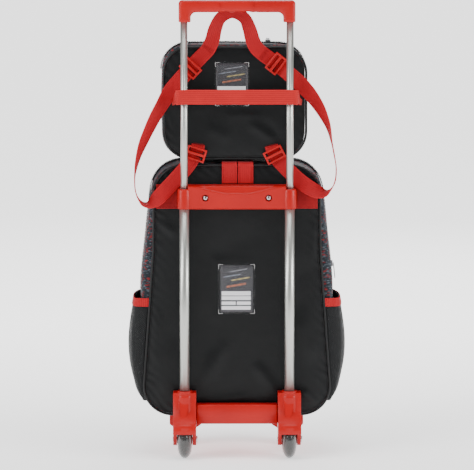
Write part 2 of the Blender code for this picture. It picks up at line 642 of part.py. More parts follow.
def build_small_bag():
    """The small bag's soft solids and the band that holds it on the handle."""
    half = [(0.1200, SMALL_BOTTOM_Z, 0.045), (0.1200, SMALL_BODY_TOP_Z, 0.045)]
    body = plate("small_bag_body", shift(rounded(mirrored(half), 6), x=SMALL_X - 0.003),
                 tube_plane(SMALL_REAR_Y), tube_plane(SMALL_FRONT_Y), "print_fabric")
    bevel(body, 0.012, segments=3, angle=60)
    panel = plate("small_bag_panel", small_panel_outline(inset=PIPING_RADIUS + 2 * GAP),
                  tube_plane(SMALL_PANEL_FRONT), tube_plane(SMALL_PANEL_FRONT + PANEL_THICK),
                  "black_fabric")
    bevel(panel, 0.0015, segments=1, angle=60)
    piping("small_bag_piping", small_panel_outline(), tube_plane(SMALL_PANEL_FRONT + 0.0032),
           "black_fabric")
    build_window("small_bag", -0.0080, 0.6210, (0.0580, 0.0740), (0.0530, 0.0680), SMALL_SKIN_LAYER)
    build_trolley_band()
    build_small_loop()


def build_trolley_band():
    """Webbing band in front of the tubes, wrapped back past them to the sides of the small bag."""
    upright = (0, 0, 1)
    half = [((0.0400, tube_plane(BAND_Y), BAND_Z), upright), ((0.0800, tube_plane(BAND_Y), BAND_Z), upright),
            ((0.0950, tube_plane(BAND_Y), BAND_Z - 0.0005), upright),
            ((0.0990, tube_plane(BAND_Y + 0.0035), BAND_Z - 0.0020), upright),
            ((0.1005, tube_plane(0.0000), BAND_Z - 0.0100), (0, -0.30, 1)),
            ((0.1025, tube_plane(0.0130), BAND_Z - 0.0200), (0, -0.35, 1)),
            ((0.1055, tube_plane(0.0220), BAND_Z - 0.0225), (0, -0.20, 1))]
    other = [((-x, y, z), across) for (x, y, z), across in reversed(half)]
    ribbon("trolley_band", other + half, "red_webbing", width=0.0240, steps=2)


def build_small_loop():
    """Haul loop of the small bag: one webbing from adjuster to adjuster, arched behind the grip."""
    stations = [((-0.0725, 0.0246, 0.6520), (0.73, 0, -0.69)), ((-0.0600, 0.0246, 0.6650), (0.70, 0, -0.71)),
                ((-0.0470, 0.0240, 0.6790), (0.85, 0, -0.50)), ((-0.0400, 0.0235, 0.6950), (0.95, 0.1, -0.3)),
                ((-0.0350, 0.0240, 0.7120), (0.80, 0.5, -0.35)), ((-0.0230, 0.0262, 0.7290), (0.25, 1, -0.2)),
                ((-0.0065, 0.0268, 0.7365), (0, 1, 0)),
                ((0.0095, 0.0262, 0.7290), (-0.25, 1, -0.2)), ((0.0205, 0.0240, 0.7120), (-0.80, 0.5, -0.3)),
                ((0.0255, 0.0235, 0.6950), (-0.95, 0.1, -0.2)), ((0.0320, 0.0240, 0.6810), (-0.8, 0, -0.55)),
                ((0.0440, 0.0246, 0.6700), (-0.64, 0, -0.77)), ((0.0600, 0.0246, 0.6585), (-0.62, 0, -0.79))]
    placed = [((x, tube_plane(y), z), across) for (x, y, z), across in stations]
    ribbon("small_bag_haul_loop", placed, "red_webbing", width=0.0240, steps=2)


LEFT_STRAP = [((-0.0790, 0.0222, 0.6445), (0.73, 0, -0.69)),
              ((-0.0865, 0.0216, 0.6365), (0.73, 0, -0.69)),
              ((-0.0965, 0.0170, 0.6255), (0.72, 0, -0.70)),
              ((-0.1090, 0.0150, 0.6105), (0.75, 0.1, -0.65)),
              ((-0.1223, 0.0120, 0.5890), (0.70, 0.5, -0.45)),
              ((-0.1375, 0.0095, 0.5620), (0.65, 0.7, -0.35)),
              ((-0.1545, 0.0070, 0.5250), (0.50, 0.85, -0.2)),
              ((-0.1640, 0.0060, 0.4960), (0.25, 1, 0)), ((-0.1685, 0.0055, 0.4680), (0, 1, 0)),
              ((-0.1670, 0.0050, 0.4440), (-0.05, 1, 0)), ((-0.1590, 0.0040, 0.4285), (-0.05, 1, 0.1)),
              ((-0.1480, 0.0025, 0.4235), (0, 0.95, 0.3)), ((-0.1360, 0.0035, 0.4285), (-0.1, 0.65, 0.75)),
              ((-0.1240, 0.0085, 0.4405), (-0.24, 0.2, 0.95)), ((-0.1120, 0.0120, 0.4530), (-0.50, 0, 0.85)),
              ((-0.0990, 0.0134, 0.4670), (-0.65, 0, 0.75)), ((-0.0860, 0.0148, 0.4815), (-0.75, 0, 0.65)),
              ((-0.0775, 0.0174, 0.4925), (-0.85, 0, 0.50)), ((-0.0705, 0.0174, 0.5045), (-0.94, 0, 0.34))]
RIGHT_STRAP = [((0.0670, 0.0222, 0.6530), (-0.62, 0, -0.79)),
               ((0.0760, 0.0216, 0.6465), (-0.62, 0, -0.79)),
               ((0.0880, 0.0170, 0.6365), (-0.60, 0, -0.80)),
               ((0.1060, 0.0150, 0.6205), (-0.66, 0.1, -0.73)),
               ((0.1235, 0.0120, 0.6010), (-0.60, 0.5, -0.6)),
               ((0.1375, 0.0095, 0.5800), (-0.55, 0.75, -0.35)),
               ((0.1495, 0.0070, 0.5540), (-0.3, 0.95, -0.1)),
               ((0.1555, 0.0060, 0.5290), (-0.05, 1, 0)), ((0.1600, 0.0055, 0.5060), (0, 1, 0)),
               ((0.1635, 0.0050, 0.4820), (0.05, 1, 0)), ((0.1610, 0.0040, 0.4600), (0.1, 1, 0)),
               ((0.1515, 0.0025, 0.4460), (0.15, 0.95, 0.2)), ((0.1385, 0.0030, 0.4430), (0.1, 0.75, 0.65)),
               ((0.1210, 0.0085, 0.4500), (0.3, 0.3, 0.9)), ((0.1025, 0.0128, 0.4630), (0.45, 0, 0.89)),
               ((0.0860, 0.0148, 0.4780), (0.6, 0, 0.8)), ((0.0775, 0.0160, 0.4870), (0.72, 0, 0.69)),
               ((0.0695, 0.0174, 0.4955), (0.80, 0, 0.60)), ((0.0650, 0.0174, 0.5035), (0.87, 0, 0.48))]
LOWER_TABS = {"left": [((-0.0630, 0.0246, 0.5270), (-1, 0, 0.3)), ((-0.0640, 0.0238, 0.5190), (-1, 0, 0.3)),
                       ((-0.0655, 0.0190, 0.5125), (-1, 0, 0.3)), ((-0.0664, 0.0178, 0.5090), (-1, 0, 0.3))],
              "right": [((0.0560, 0.0246, 0.5240), (1, 0, 0.45)), ((0.0575, 0.0238, 0.5170), (1, 0, 0.45)),
                        ((0.0598, 0.0190, 0.5105), (1, 0, 0.45)), ((0.0612, 0.0178, 0.5075), (1, 0, 0.45))]}


def adjuster(name, x, z, layer, lean):
    """A ladder-lock adjuster: a frame with two slots for the webbing, leaning by some degrees."""
    x_out, z_out, radius = ADJUSTER_LENGTH / 2, ADJUSTER_HEIGHT / 2, 0.002
    outline = rounded(mirrored([(x_out, -z_out, radius), (x_out, z_out, radius)]), steps=2)
    reach = SLOT_LENGTH / 2
    slots = [[(-reach, low), (reach, low), (reach, low + SLOT_HEIGHT), (-reach, low + SLOT_HEIGHT)]
             for low in SLOT_LOWS]
    frame = plate(name, outline, -ADJUSTER_THICK / 2, ADJUSTER_THICK / 2, "red_plastic", holes=slots)
    frame.location = (x, tube_plane(layer), z)
    frame.rotation_euler = (0, math.radians(lean), 0)
    return frame


def build_straps():
    """Shoulder straps of the small bag with their four adjusters."""
    for side, stations in (("left", LEFT_STRAP), ("right", RIGHT_STRAP)):
        placed = [((x, tube_plane(y), z), across) for (x, y, z), across in stations]
        ribbon(f"shoulder_strap_{side}", placed, "red_webbing", steps=2)
    adjuster("upper_adjuster_left", -0.0765, 0.6475, 0.0186, 43)
    adjuster("upper_adjuster_right", 0.0642, 0.6550, 0.0186, -52)
    adjuster("lower_adjuster_left", -0.0677, 0.5065, 0.0144, 18)
    adjuster("lower_adjuster_right", 0.0619, 0.5049, 0.0144, -27)
    for side, stations in LOWER_TABS.items():
        placed = [((x, tube_plane(y), z), across) for (x, y, z), across in stations]
        ribbon(f"lower_tab_{side}", placed, "red_webbing", width=0.0220, steps=2)


# ---------------------------------------------------------------- zips
def build_zip(name, slider_at, outward, down):
    """A slider that lies on a zip and the pull that hangs from it.

    outward points away from the fabric and down points along the resting pull.
    """
    outward, down = Vector(outward).normalized(), Vector(down).normalized()
    across = outward.cross(down)
    turn = Matrix((across, down, outward)).transposed().to_4x4()
    thick = PULL_THICK / 2
    width, length, height = SLIDER_SIZE
    corners = {"slider": ((-width / 2, -length / 2, 0.0), (width / 2, length / 2, height)),
               "pull": ((-PULL_WIDTH / 2, -thick, PULL_PIVOT - thick),
                        (PULL_WIDTH / 2, PULL_LENGTH, PULL_PIVOT + thick))}
    for piece, (low, high) in corners.items():
        size = Vector(high) - Vector(low)
        bm = bmesh.new()
        bmesh.ops.create_cube(bm, size=1.0)
        bmesh.ops.scale(bm, vec=size, verts=bm.verts)
        pivot = Vector((0, 0, PULL_PIVOT if piece == "pull" else 0))
        bmesh.ops.translate(bm, vec=(Vector(low) + Vector(high)) / 2 - pivot, verts=bm.verts)
        bmesh.ops.bevel(bm, geom=bm.edges[:], offset=0.0005, segments=1, affect="EDGES", profile=0.5,
                        material=-1)
        obj = from_bmesh(f"{name}_zip_{piece}", bm, "zip_metal")
        obj.matrix_world = Matrix.Translation(Vector(slider_at)) @ turn @ Matrix.Translation(pivot)


def build_zips():
    """Main compartment, front pocket and small bag."""
    wall = Vector((SHOULDER_HALF_WIDTH - PACK_HALF_WIDTH, 0, PACK_TOP_Z - WAIST_Z)).normalized()
    outward = Vector((wall.z, 0, -wall.x))
    foot = Vector((PACK_HALF_WIDTH, tube_plane(0.118), WAIST_Z))
    build_zip("main", foot + wall * 0.0220 + outward * GAP, outward, -wall)
    build_zip("pocket", (0.070, tube_plane(PACK_FRONT_Y + FRONT_POCKET_DEPTH + 2 * GAP), 0.2850), (0, 1, 0),
              (0, 0, -1))
    build_zip("small_bag", (SMALL_X + 0.055, tube_plane(0.078), SMALL_BODY_TOP_Z + GAP), (0, 0, 1), (0, 1, 0))


build_grip()
build_release()
build_handle_tubes()
build_bridge()
build_base()
build_backpack()
build_side_pockets()
build_small_bag()
build_straps()
build_zips()
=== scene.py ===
"""Looks of a school backpack fixed on its telescopic trolley, with the small matching bag on the handle.

Metres, +Z up. The trolley's tubes face -Y, the bags' fronts face +Y, and +X is on the right seen from
the trolley side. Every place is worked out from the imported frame.
"""

import logging
import math
from dataclasses import dataclass
from enum import Enum
from functools import cache
from typing import Callable, Iterable, Protocol, Sequence

import bmesh
import bpy
from mathutils import Matrix, Vector, noise
from mathutils.bvhtree import BVHTree


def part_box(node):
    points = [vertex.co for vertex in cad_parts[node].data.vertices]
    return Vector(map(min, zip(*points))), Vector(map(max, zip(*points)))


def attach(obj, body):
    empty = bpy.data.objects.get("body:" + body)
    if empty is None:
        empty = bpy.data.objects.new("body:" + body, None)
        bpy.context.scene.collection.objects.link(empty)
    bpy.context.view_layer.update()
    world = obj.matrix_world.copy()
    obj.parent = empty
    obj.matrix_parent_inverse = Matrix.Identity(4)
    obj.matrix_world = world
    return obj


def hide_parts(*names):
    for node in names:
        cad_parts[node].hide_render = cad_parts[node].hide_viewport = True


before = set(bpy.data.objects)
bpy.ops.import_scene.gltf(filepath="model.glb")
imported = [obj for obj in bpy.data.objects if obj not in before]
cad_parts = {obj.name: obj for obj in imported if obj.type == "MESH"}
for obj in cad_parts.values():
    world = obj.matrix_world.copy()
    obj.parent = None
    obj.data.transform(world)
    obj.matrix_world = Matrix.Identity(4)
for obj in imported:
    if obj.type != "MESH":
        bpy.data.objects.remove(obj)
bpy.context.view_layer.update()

LOG = logging.getLogger("backpack")
Colour = tuple[float, float, float]
Tint = Colour | bpy.types.NodeSocket
Station = tuple[tuple[float, float, float], tuple[float, float, float]]
SIDES = (("left", -1), ("right", 1))
WELD = 0.000002              # points closer than this are one
OUT = Vector((0, -1, 0))     # away from the back panels, towards the trolley's tubes
UP = Vector((0, 0, 1))


def middle(node: str) -> Vector:
    """Centre of a CAD node's box."""
    low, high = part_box(node)
    return (low + high) / 2


TUBE_X = middle("outer_tube_right").x
TUBE_Y = middle("outer_tube_right").y


def behind(offset: float) -> float:
    """World Y of a plane that lies this far behind the tubes."""
    return TUBE_Y + offset


class Body(Enum):
    """Moving bodies of the frame."""

    TROLLEY = "trolley"
    HANDLE = "handle"
    RELEASE = "release"
    SMALL_BAG = "small_bag"


class Slot(Enum):
    """Material slots of the record."""

    RED_PLASTIC = "red_plastic"
    RED_BUCKLE = "red_buckle"
    TUBE_METAL = "tube_metal"
    STEEL = "steel"
    DARK_PLASTIC = "dark_plastic"
    SMOKE_TYRE = "smoke_tyre"
    RED_WEBBING = "red_webbing"
    RED_ELASTIC = "red_elastic"
    BLACK_FABRIC = "black_fabric"
    PRINT_FABRIC = "print_fabric"
    MESH_FABRIC = "mesh_fabric"
    CLEAR_FILM = "clear_film"
    CARD = "card"
    ZIP_METAL = "zip_metal"


# -------------------- shaders
class Value:
    """A number socket used in expressions: every operator adds its Math node."""

    def __init__(self, shader: "Shader", socket: bpy.types.NodeSocket) -> None:
        """Wrap a socket of a shader."""
        self.shader = shader
        self.socket = socket

    def math(self, operation: str, *others: "Value | float", first: float | None = None) -> "Value":
        """Add a Math node.

        Args:
            operation: the node's operation.
            others: its further inputs.
            first: a number that goes before this value, for reflected operators.

        Returns:
            The node's result.
        """
        values = [self, *others] if first is None else [first, self, *others]
        return self.shader.value("ShaderNodeMath", {"operation": operation}, dict(enumerate(values)))

    def __add__(self, other: "Value | float") -> "Value":
        """This plus other."""
        return self.math("ADD", other)

    __radd__ = __add__

    def __sub__(self, other: "Value | float") -> "Value":
        """This minus other."""
        return self.math("SUBTRACT", other)

    def __rsub__(self, other: float) -> "Value":
        """A number minus this."""
        return self.math("SUBTRACT", first=other)

    def __mul__(self, other: "Value | float") -> "Value":
        """This times other."""
        return self.math("MULTIPLY", other)

    __rmul__ = __mul__

    def __truediv__(self, other: "Value | float") -> "Value":
        """This over other."""
        return self.math("DIVIDE", other)

    def __gt__(self, other: "Value | float") -> "Value":
        """1 where this is more than other."""
        return self.math("GREATER_THAN", other)

    def __lt__(self, other: "Value | float") -> "Value":
        """1 where this is less than other."""
        return self.math("LESS_THAN", other)

    def __abs__(self) -> "Value":
        """This without its sign."""
        return self.math("ABSOLUTE")

    def sine(self) -> "Value":
        """Its sine."""
        return self.math("SINE")

    def fraction(self) -> "Value":
        """Its part after the point."""
        return self.math("FRACT")

    def within(self, low: float, high: float) -> "Value":
        """1 between two numbers, 0 outside them."""
        return (self > low) * (self < high)

    def ramp(self, low: float, high: float) -> "Value":
        """0 at low, 1 at high, held at both ends."""
        inputs = {"Value": self, "From Min": low, "From Max": high}
        return self.shader.value("ShaderNodeMapRange", {"interpolation_type": "SMOOTHSTEP"}, inputs)


class Shader:
    """The node tree of one finish round its Principled shader."""

    def __init__(self, name: str) -> None:
        """Make an empty material of that name with its shader and output.

        Args:
            name: the material's name.
        """
        self.material = bpy.data.materials.new(name)
        self.material.use_nodes = True
        self.material.node_tree.nodes.clear()
        self.principled = self.node("ShaderNodeBsdfPrincipled")
        self.node("ShaderNodeOutputMaterial", inputs={"Surface": self.principled.outputs[0]})

    def node(self, kind: str, settings: dict | None = None, inputs: dict | None = None) -> bpy.types.Node:
        """Add a node.

        Args:
            kind: the node's type.
            settings: its properties, which are set first.
            inputs: socket names or numbers, with the value or the link of each.

        Returns:
            The node.
        """
        made = self.material.node_tree.nodes.new(kind)
        for key, value in (settings or {}).items():
            setattr(made, key, value)
        for key, value in (inputs or {}).items():
            self.feed(made.inputs[key], value)
        return made

    def value(self, kind: str, settings: dict | None = None, inputs: dict | None = None) -> Value:
        """Add a node, as node does, and take its first output as a number."""
        return Value(self, self.node(kind, settings, inputs).outputs[0])

    def feed(self, socket: bpy.types.NodeSocket, value: object) -> None:
        """Link or set one socket.

        Args:
            socket: the input to set.
            value: a number, colour, Value or socket.
        """
        if isinstance(value, Value):
            value = value.socket
        if isinstance(value, bpy.types.NodeSocket):
            self.material.node_tree.links.new(value, socket)
        elif socket.type == "RGBA" and len(value) == 3:
            socket.default_value = (*value, 1.0)
        else:
            socket.default_value = value

    def set(self, **sockets: object) -> None:
        """Feed the Principled shader; a name's underscores stand for spaces."""
        for key, value in sockets.items():
            self.feed(self.principled.inputs[key.replace("_", " ")], value)

    def place(self, turn: tuple = (0, 0, 0), scale: tuple = (1, 1, 1)) -> bpy.types.NodeSocket:
        """Object coordinates, turned and scaled.

        Args:
            turn: turn in radians about X, Y and Z.
            scale: factors along X, Y and Z.

        Returns:
            A vector socket.
        """
        coords = self.node("ShaderNodeTexCoord").outputs["Object"]
        mapping = {"Vector": coords, "Rotation": turn, "Scale": scale}
        return self.node("ShaderNodeMapping", {"vector_type": "POINT"}, mapping).outputs[0]

    def split(self, vector: bpy.types.NodeSocket) -> tuple[Value, Value, Value]:
        """The three numbers of a vector."""
        outputs = self.node("ShaderNodeSeparateXYZ", inputs={0: vector}).outputs
        return Value(self, outputs[0]), Value(self, outputs[1]), Value(self, outputs[2])

    def uv(self) -> tuple[Value, Value]:
        """The piece's own UV coordinates."""
        u, v, _ = self.split(self.node("ShaderNodeTexCoord").outputs["UV"])
        return u, v

    def noise(self, vector: bpy.types.NodeSocket, scale: float, detail: float = 2.0,
              roughness: float = 0.5) -> Value:
        """Cloudy noise from about 0 to 1."""
        inputs = {"Vector": vector, "Scale": scale, "Detail": detail, "Roughness": roughness}
        return self.value("ShaderNodeTexNoise", inputs=inputs)

    def cells(self, vector: bpy.types.NodeSocket, scale: float,
              output: str = "Distance") -> bpy.types.NodeSocket:
        """Voronoi cells: the distance to each one's centre, or its own colour."""
        inputs = {"Vector": vector, "Scale": scale}
        return self.node("ShaderNodeTexVoronoi", {"feature": "F1"}, inputs).outputs[output]

    def blend(self, factor: Value, low: Tint, high: Tint) -> bpy.types.NodeSocket:
        """A colour between two."""
        inputs = {0: factor, 6: low, 7: high}
        return self.node("ShaderNodeMix", {"data_type": "RGBA"}, inputs).outputs[2]

    def relief(self, height: Value, distance: float, strength: float = 1.0) -> bpy.types.NodeSocket:
        """A normal that shows heights of 0 to 1 as a relief of that depth in metres."""
        inputs = {"Height": height, "Distance": distance, "Strength": strength}
        return self.node("ShaderNodeBump", inputs=inputs).outputs[0]


def shade(colour: Colour, factor: float) -> Colour:
    """A colour made lighter or darker."""
    return tuple(min(part * factor, 1.0) for part in colour)


# -------------------- finishes
class Finish(Protocol):
    """What every surface finish can do."""

    def material(self) -> bpy.types.Material:
        """Build its material."""


@dataclass(frozen=True)
class MouldedPlastic:
    """Injection-moulded plastic with a fine spark-eroded grain and light scuffs."""

    name: str
    colour: Colour
    roughness: float = 0.34
    coat: float = 0.06
    grain: float = 0.00006
    gloss: float = 0.22

    def material(self) -> bpy.types.Material:
        """Build the finish.

        Returns:
            The material.
        """
        shader = Shader(self.name)
        spot = shader.place()
        cloud = shader.noise(spot, 14.0, 4.0)
        scuffs = shader.noise(spot, 220.0, 6.0, 0.65)
        grain = shader.noise(spot, 1500.0, 2.0)
        colour = shader.blend(cloud.ramp(0.3, 0.7), shade(self.colour, 0.92), shade(self.colour, 1.06))
        shader.set(Base_Color=shader.blend(scuffs.ramp(0.62, 0.8) * 0.25, colour, shade(self.colour, 1.3)),
                   Roughness=self.roughness + (scuffs - 0.5) * 0.16, Specular_IOR_Level=self.gloss,
                   Coat_Weight=self.coat, Coat_Roughness=0.25,
                   Normal=shader.relief(grain + cloud * 2.0, self.grain, 0.6))
        return shader.material


@dataclass(frozen=True)
class DrawnMetal:
    """Drawn or turned metal whose fine lines run along Z."""

    name: str
    colour: Colour
    roughness: float
    metallic: float = 0.9
    lines: float = 900.0

    def material(self) -> bpy.types.Material:
        """Build the finish.

        Returns:
            The material.
        """
        shader = Shader(self.name)
        streaks = shader.noise(shader.place(scale=(1, 1, 0.012)), self.lines, 4.0, 0.6)
        smudge = shader.noise(shader.place(), 26.0, 4.0)
        dull, bright = shade(self.colour, 0.9), shade(self.colour, 1.05)
        shader.set(Base_Color=shader.blend(streaks.ramp(0.3, 0.7), dull, bright), Metallic=self.metallic,
                   Roughness=self.roughness + (streaks - 0.5) * 0.14 + (smudge - 0.5) * 0.08,
                   Normal=shader.relief(streaks, 0.00003, 0.5))
        return shader.material


@dataclass(frozen=True)
class WovenFabric:
    """Coated polyester weave with a satin face."""

    name: str
    colour: Colour
    roughness: float = 0.40
    threads: float = 1500.0      # threads to the metre
    gloss: float = 0.2
    sheen: float = 0.02
    creases: float = 0.0016

    def material(self) -> bpy.types.Material:
        """Build the finish.

        Returns:
            The material.
        """
        shader = Shader(self.name)
        spot = shader.place()
        weave = weave_height(shader, spot, self.threads)
        crease = shader.noise(spot, 16.0, 5.0, 0.55)
        fine = shader.noise(spot, 70.0, 4.0, 0.6)
        wear = shader.noise(spot, 5.0, 3.0)
        # Painted shade: the weave's low points are coloured darker and its high points lighter.
        base = shader.blend(weave, shade(self.colour, 0.75), shade(self.colour, 1.25))
        shader.set(Base_Color=shader.blend(wear.ramp(0.35, 0.75) * 0.5, base, shade(self.colour, 1.7)),
                   Roughness=self.roughness + (fine - 0.5) * 0.18, Specular_IOR_Level=self.gloss,
                   Sheen_Weight=self.sheen, Sheen_Roughness=0.4,
                   Normal=shader.relief(crease + fine * 0.12 + weave * 0.05, self.creases, 0.7))
        return shader.material


def weave_height(shader: Shader, spot: bpy.types.NodeSocket, threads: float) -> Value:
    """Plain-weave relief that shows on any plane.

    Args:
        shader: the finish that it belongs to.
        spot: the coordinates.
        threads: threads to the metre.

    Returns:
        A height from 0 to 1.
    """
    rate = math.pi * threads
    x, y, z = shader.split(spot)
    return ((x * rate).sine() * (z * rate).sine() + (y * rate).sine() * (z * rate).sine()
            + (x * rate).sine() * (y * rate).sine()) * 0.25 + 0.5


@dataclass(frozen=True)
class PrintedFabric:
    """Slate polyester printed all over with short red, blue-grey and pale dashes."""

    name: str
    ground: Colour = (0.010, 0.014, 0.019)
    threads: float = 1300.0

    def material(self) -> bpy.types.Material:
        """Build the finish.

        Returns:
            The material.
        """
        shader = Shader(self.name)
        colour: Tint = self.ground
        layers = ((0.25, (0.42, 1.0, 1.0), 270.0, (0.028, 0.038, 0.048), (0.070, 0.088, 0.105)),
                  (-0.5, (0.55, 1.0, 1.5), 330.0, (0.012, 0.019, 0.028), (0.120, 0.140, 0.160)),
                  (1.1, (0.50, 1.0, 1.3), 240.0, (0.090, 0.006, 0.008), (0.210, 0.012, 0.012)))
        for turn, stretch, scale, dark, light in layers:
            spot = shader.place(turn=(0.3, turn, 0.2), scale=stretch)
            reach = Value(shader, shader.cells(spot, scale))
            pick, tone, _ = shader.split(shader.cells(spot, scale, "Color"))
            dash = (1 - reach.ramp(0.34, 0.46)) * (pick > 0.3)
            colour = shader.blend(dash, colour, shader.blend(tone, dark, light))
        spot = shader.place()
        weave = weave_height(shader, spot, self.threads)
        crease = shader.noise(spot, 18.0, 5.0, 0.55)
        shader.set(Base_Color=shader.blend(weave * 0.3, colour, self.ground), Sheen_Weight=0.03,
                   Roughness=0.6 + (crease - 0.5) * 0.15, Specular_IOR_Level=0.2,
                   Normal=shader.relief(crease + weave * 0.12, 0.0011, 0.6))
        return shader.material


@dataclass(frozen=True)
class RibbedWebbing:
    """Herringbone webbing or gathered elastic; UV runs across and along it in metres."""

    name: str
    colour: Colour
    width: float = 0.025
    ribs: float = 620.0          # ribs to the metre across
    picks: float = 560.0         # picks to the metre along
    slant: float = 0.55
    depth: float = 0.00022
    roughness: float = 0.62

    def material(self) -> bpy.types.Material:
        """Build the finish.

        Returns:
            The material.
        """
        shader = Shader(self.name)
        u, v = shader.uv()
        zigzag = abs((u * (self.ribs / 8)).fraction() - 0.5) * (2 * self.slant * 8 / self.ribs)
        rib = (u * (math.tau * self.ribs / 2)).sine() * 0.5 + 0.5
        pick = ((v + zigzag) * (math.tau * self.picks)).sine() * 0.5 + 0.5
        edge = abs(u).ramp(self.width / 2 - 0.0016, self.width / 2 - 0.0008)
        height = rib * 0.45 + pick * 0.55 + edge * 0.5
        fuzz = shader.noise(shader.place(), 900.0, 3.0)
        wear = shader.noise(shader.place(), 45.0, 4.0)
        # Painted shade and highlight: the colour follows the relief height, darker in the hollows between
        # ribs and picks, lighter on their tops and the raised edges.
        colour = shader.blend(height.ramp(0.1, 0.9), shade(self.colour, 0.62), shade(self.colour, 1.08))
        shader.set(Base_Color=shader.blend(wear.ramp(0.4, 0.9) * 0.35, colour, shade(self.colour, 1.25)),
                   Roughness=self.roughness + (fuzz - 0.5) * 0.2, Sheen_Weight=0.04, Sheen_Roughness=0.45,
                   Specular_IOR_Level=0.18,
                   Normal=shader.relief(height + fuzz * 0.4, self.depth, 0.75))
        return shader.material


@dataclass(frozen=True)
class KnitMesh:
    """Black warp-knit mesh with staggered round holes; UV is in metres."""

    name: str
    colour: Colour = (0.0055, 0.0060, 0.0065)
    pitch: float = 0.0026

    def material(self) -> bpy.types.Material:
        """Build the finish.

        Returns:
            The material.
        """
        shader = Shader(self.name)
        u, v = shader.uv()
        row = v / (self.pitch * 0.75)
        stagger = (row * 0.5).fraction().math("GREATER_THAN", 0.5) * 0.5
        along = (u / self.pitch + stagger).fraction() - 0.5
        up = row.fraction() - 0.5
        reach = (along * along * 1.2 + up * up).math("SQRT")
        thread = reach.ramp(0.20, 0.34)
        fuzz = shader.noise(shader.place(), 1100.0, 2.0)
        # Painted shade: the holes get a dark, part-opaque fill that stands for the shaded inside seen through
        # them; the threads are lighter.
        dark, light = shade(self.colour, 0.35), shade(self.colour, 1.5)
        shader.set(Base_Color=shader.blend(thread * 0.8 + fuzz * 0.2, dark, light),
                   Roughness=0.62 + (fuzz - 0.5) * 0.2, Sheen_Weight=0.05, Alpha=thread * 0.4 + 0.6,
                   Specular_IOR_Level=0.2,
                   Normal=shader.relief(thread + fuzz * 0.3, 0.0004, 0.8))
        return shader.material


@dataclass(frozen=True)
class NameCard:
    """A printed card: plain slanted stripes above and blank lines to write on below; UV runs 0 to 1.

    Attributes:
        name: the material's name.
        lines: lowest and highest v of each blank line.
        split_line: the line that is split in two.
        stripes: level, height, first and last u, and colour of each stripe.
    """

    name: str
    lines: tuple[tuple[float, float], ...]
    split_line: int = 2
    stripes: tuple[tuple[float, float, float, float, Colour], ...] = (
        (0.58, 0.040, 0.20, 0.78, (0.42, 0.12, 0.05)),
        (0.70, 0.028, 0.34, 0.90, (0.46, 0.37, 0.12)),
        (0.80, 0.024, 0.10, 0.62, (0.20, 0.23, 0.28)),
        (0.89, 0.020, 0.28, 0.82, (0.26, 0.27, 0.30)),
    )

    def material(self) -> bpy.types.Material:
        """Build the finish.

        Returns:
            The material.
        """
        shader = Shader(self.name)
        u, v = shader.uv()
        speck = shader.noise(shader.place(), 700.0, 4.0)
        colour: Tint = shader.blend(speck, (0.020, 0.020, 0.024), (0.040, 0.038, 0.046))
        for level, height, start, end, tint in self.stripes:
            slanted = v - u * 0.12 + 0.06
            mask = slanted.within(level - height / 2, level + height / 2) * u.within(start, end)
            wave = ((u * 34.0).sine() * 0.5 + 0.5) * 0.5 + 0.5
            colour = shader.blend(mask * wave, colour, tint)
        for number, (low, high) in enumerate(self.lines):
            mask = v.within(low, high) * u.within(0.045, 0.93)
            if number == self.split_line:
                mask = mask * (abs(u - 0.49) > 0.018)
            colour = shader.blend(mask, colour, (0.80, 0.80, 0.82))
        shader.set(Base_Color=colour, Roughness=0.42 + (speck - 0.5) * 0.1, Coat_Weight=0.2,
                   Normal=shader.relief(speck, 0.00005, 0.5))
        return shader.material


@dataclass(frozen=True)
class ClearFilm:
    """Clear vinyl with a slightly wavy gloss."""

    name: str
    alpha: float = 0.05

    def material(self) -> bpy.types.Material:
        """Build the finish.

        Returns:
            The material.
        """
        shader = Shader(self.name)
        wave = shader.noise(shader.place(), 60.0, 3.0)
        shader.set(Base_Color=(0.10, 0.105, 0.11), Roughness=0.08 + wave * 0.08, Alpha=self.alpha,
                   Coat_Weight=0.6, Coat_Roughness=0.06, Normal=shader.relief(wave, 0.0004, 0.6))
        return shader.material


@dataclass(frozen=True)
class CastUrethane:
    """Smoke-grey see-through urethane of the tyres."""

    name: str
    colour: Colour = (0.050, 0.050, 0.048)

    def material(self) -> bpy.types.Material:
        """Build the finish.

        Returns:
            The material.
        """
        shader = Shader(self.name)
        cloud = shader.noise(shader.place(), 90.0, 3.0)
        dust = shader.noise(shader.place(), 420.0, 5.0, 0.7)
        shader.set(Base_Color=shader.blend(cloud, shade(self.colour, 0.8), shade(self.colour, 1.3)),
                   Roughness=0.16 + dust.ramp(0.45, 0.8) * 0.25, Transmission_Weight=0.35, IOR=1.48,
                   Coat_Weight=0.5, Coat_Roughness=0.12, Normal=shader.relief(dust, 0.00006, 0.5))
        return shader.material


@dataclass(frozen=True)
class SewingThread:
    """Twisted sewing thread."""

    name: str
    colour: Colour

    def material(self) -> bpy.types.Material:
        """Build the finish.

        Returns:
            The material.
        """
        shader = Shader(self.name)
        twist = shader.noise(shader.place(scale=(1, 1, 0.4)), 2600.0, 1.0)
        shader.set(Base_Color=shader.blend(twist, shade(self.colour, 0.6), shade(self.colour, 1.2)),
                   Roughness=0.55 + twist * 0.2, Sheen_Weight=0.04, Specular_IOR_Level=0.2,
                   Normal=shader.relief(twist, 0.0001, 0.7))
        return shader.material


@dataclass(frozen=True)
class PaleFloor:
    """Matt studio floor, lit from within, and more so behind the object."""

    name: str
    glow: float = 2.1

    def material(self) -> bpy.types.Material:
        """Build the finish.

        Returns:
            The material.
        """
        shader = Shader(self.name)
        _, y, _ = shader.split(shader.place())
        glow = shader.blend(y.ramp(-0.4, 1.6), (0.38, 0.38, 0.38), (1.0, 1.0, 1.0))
        shader.set(Base_Color=(0.93, 0.93, 0.93), Roughness=0.85, Specular_IOR_Level=0.1,
                   Emission_Color=glow, Emission_Strength=self.glow)
        return shader.material


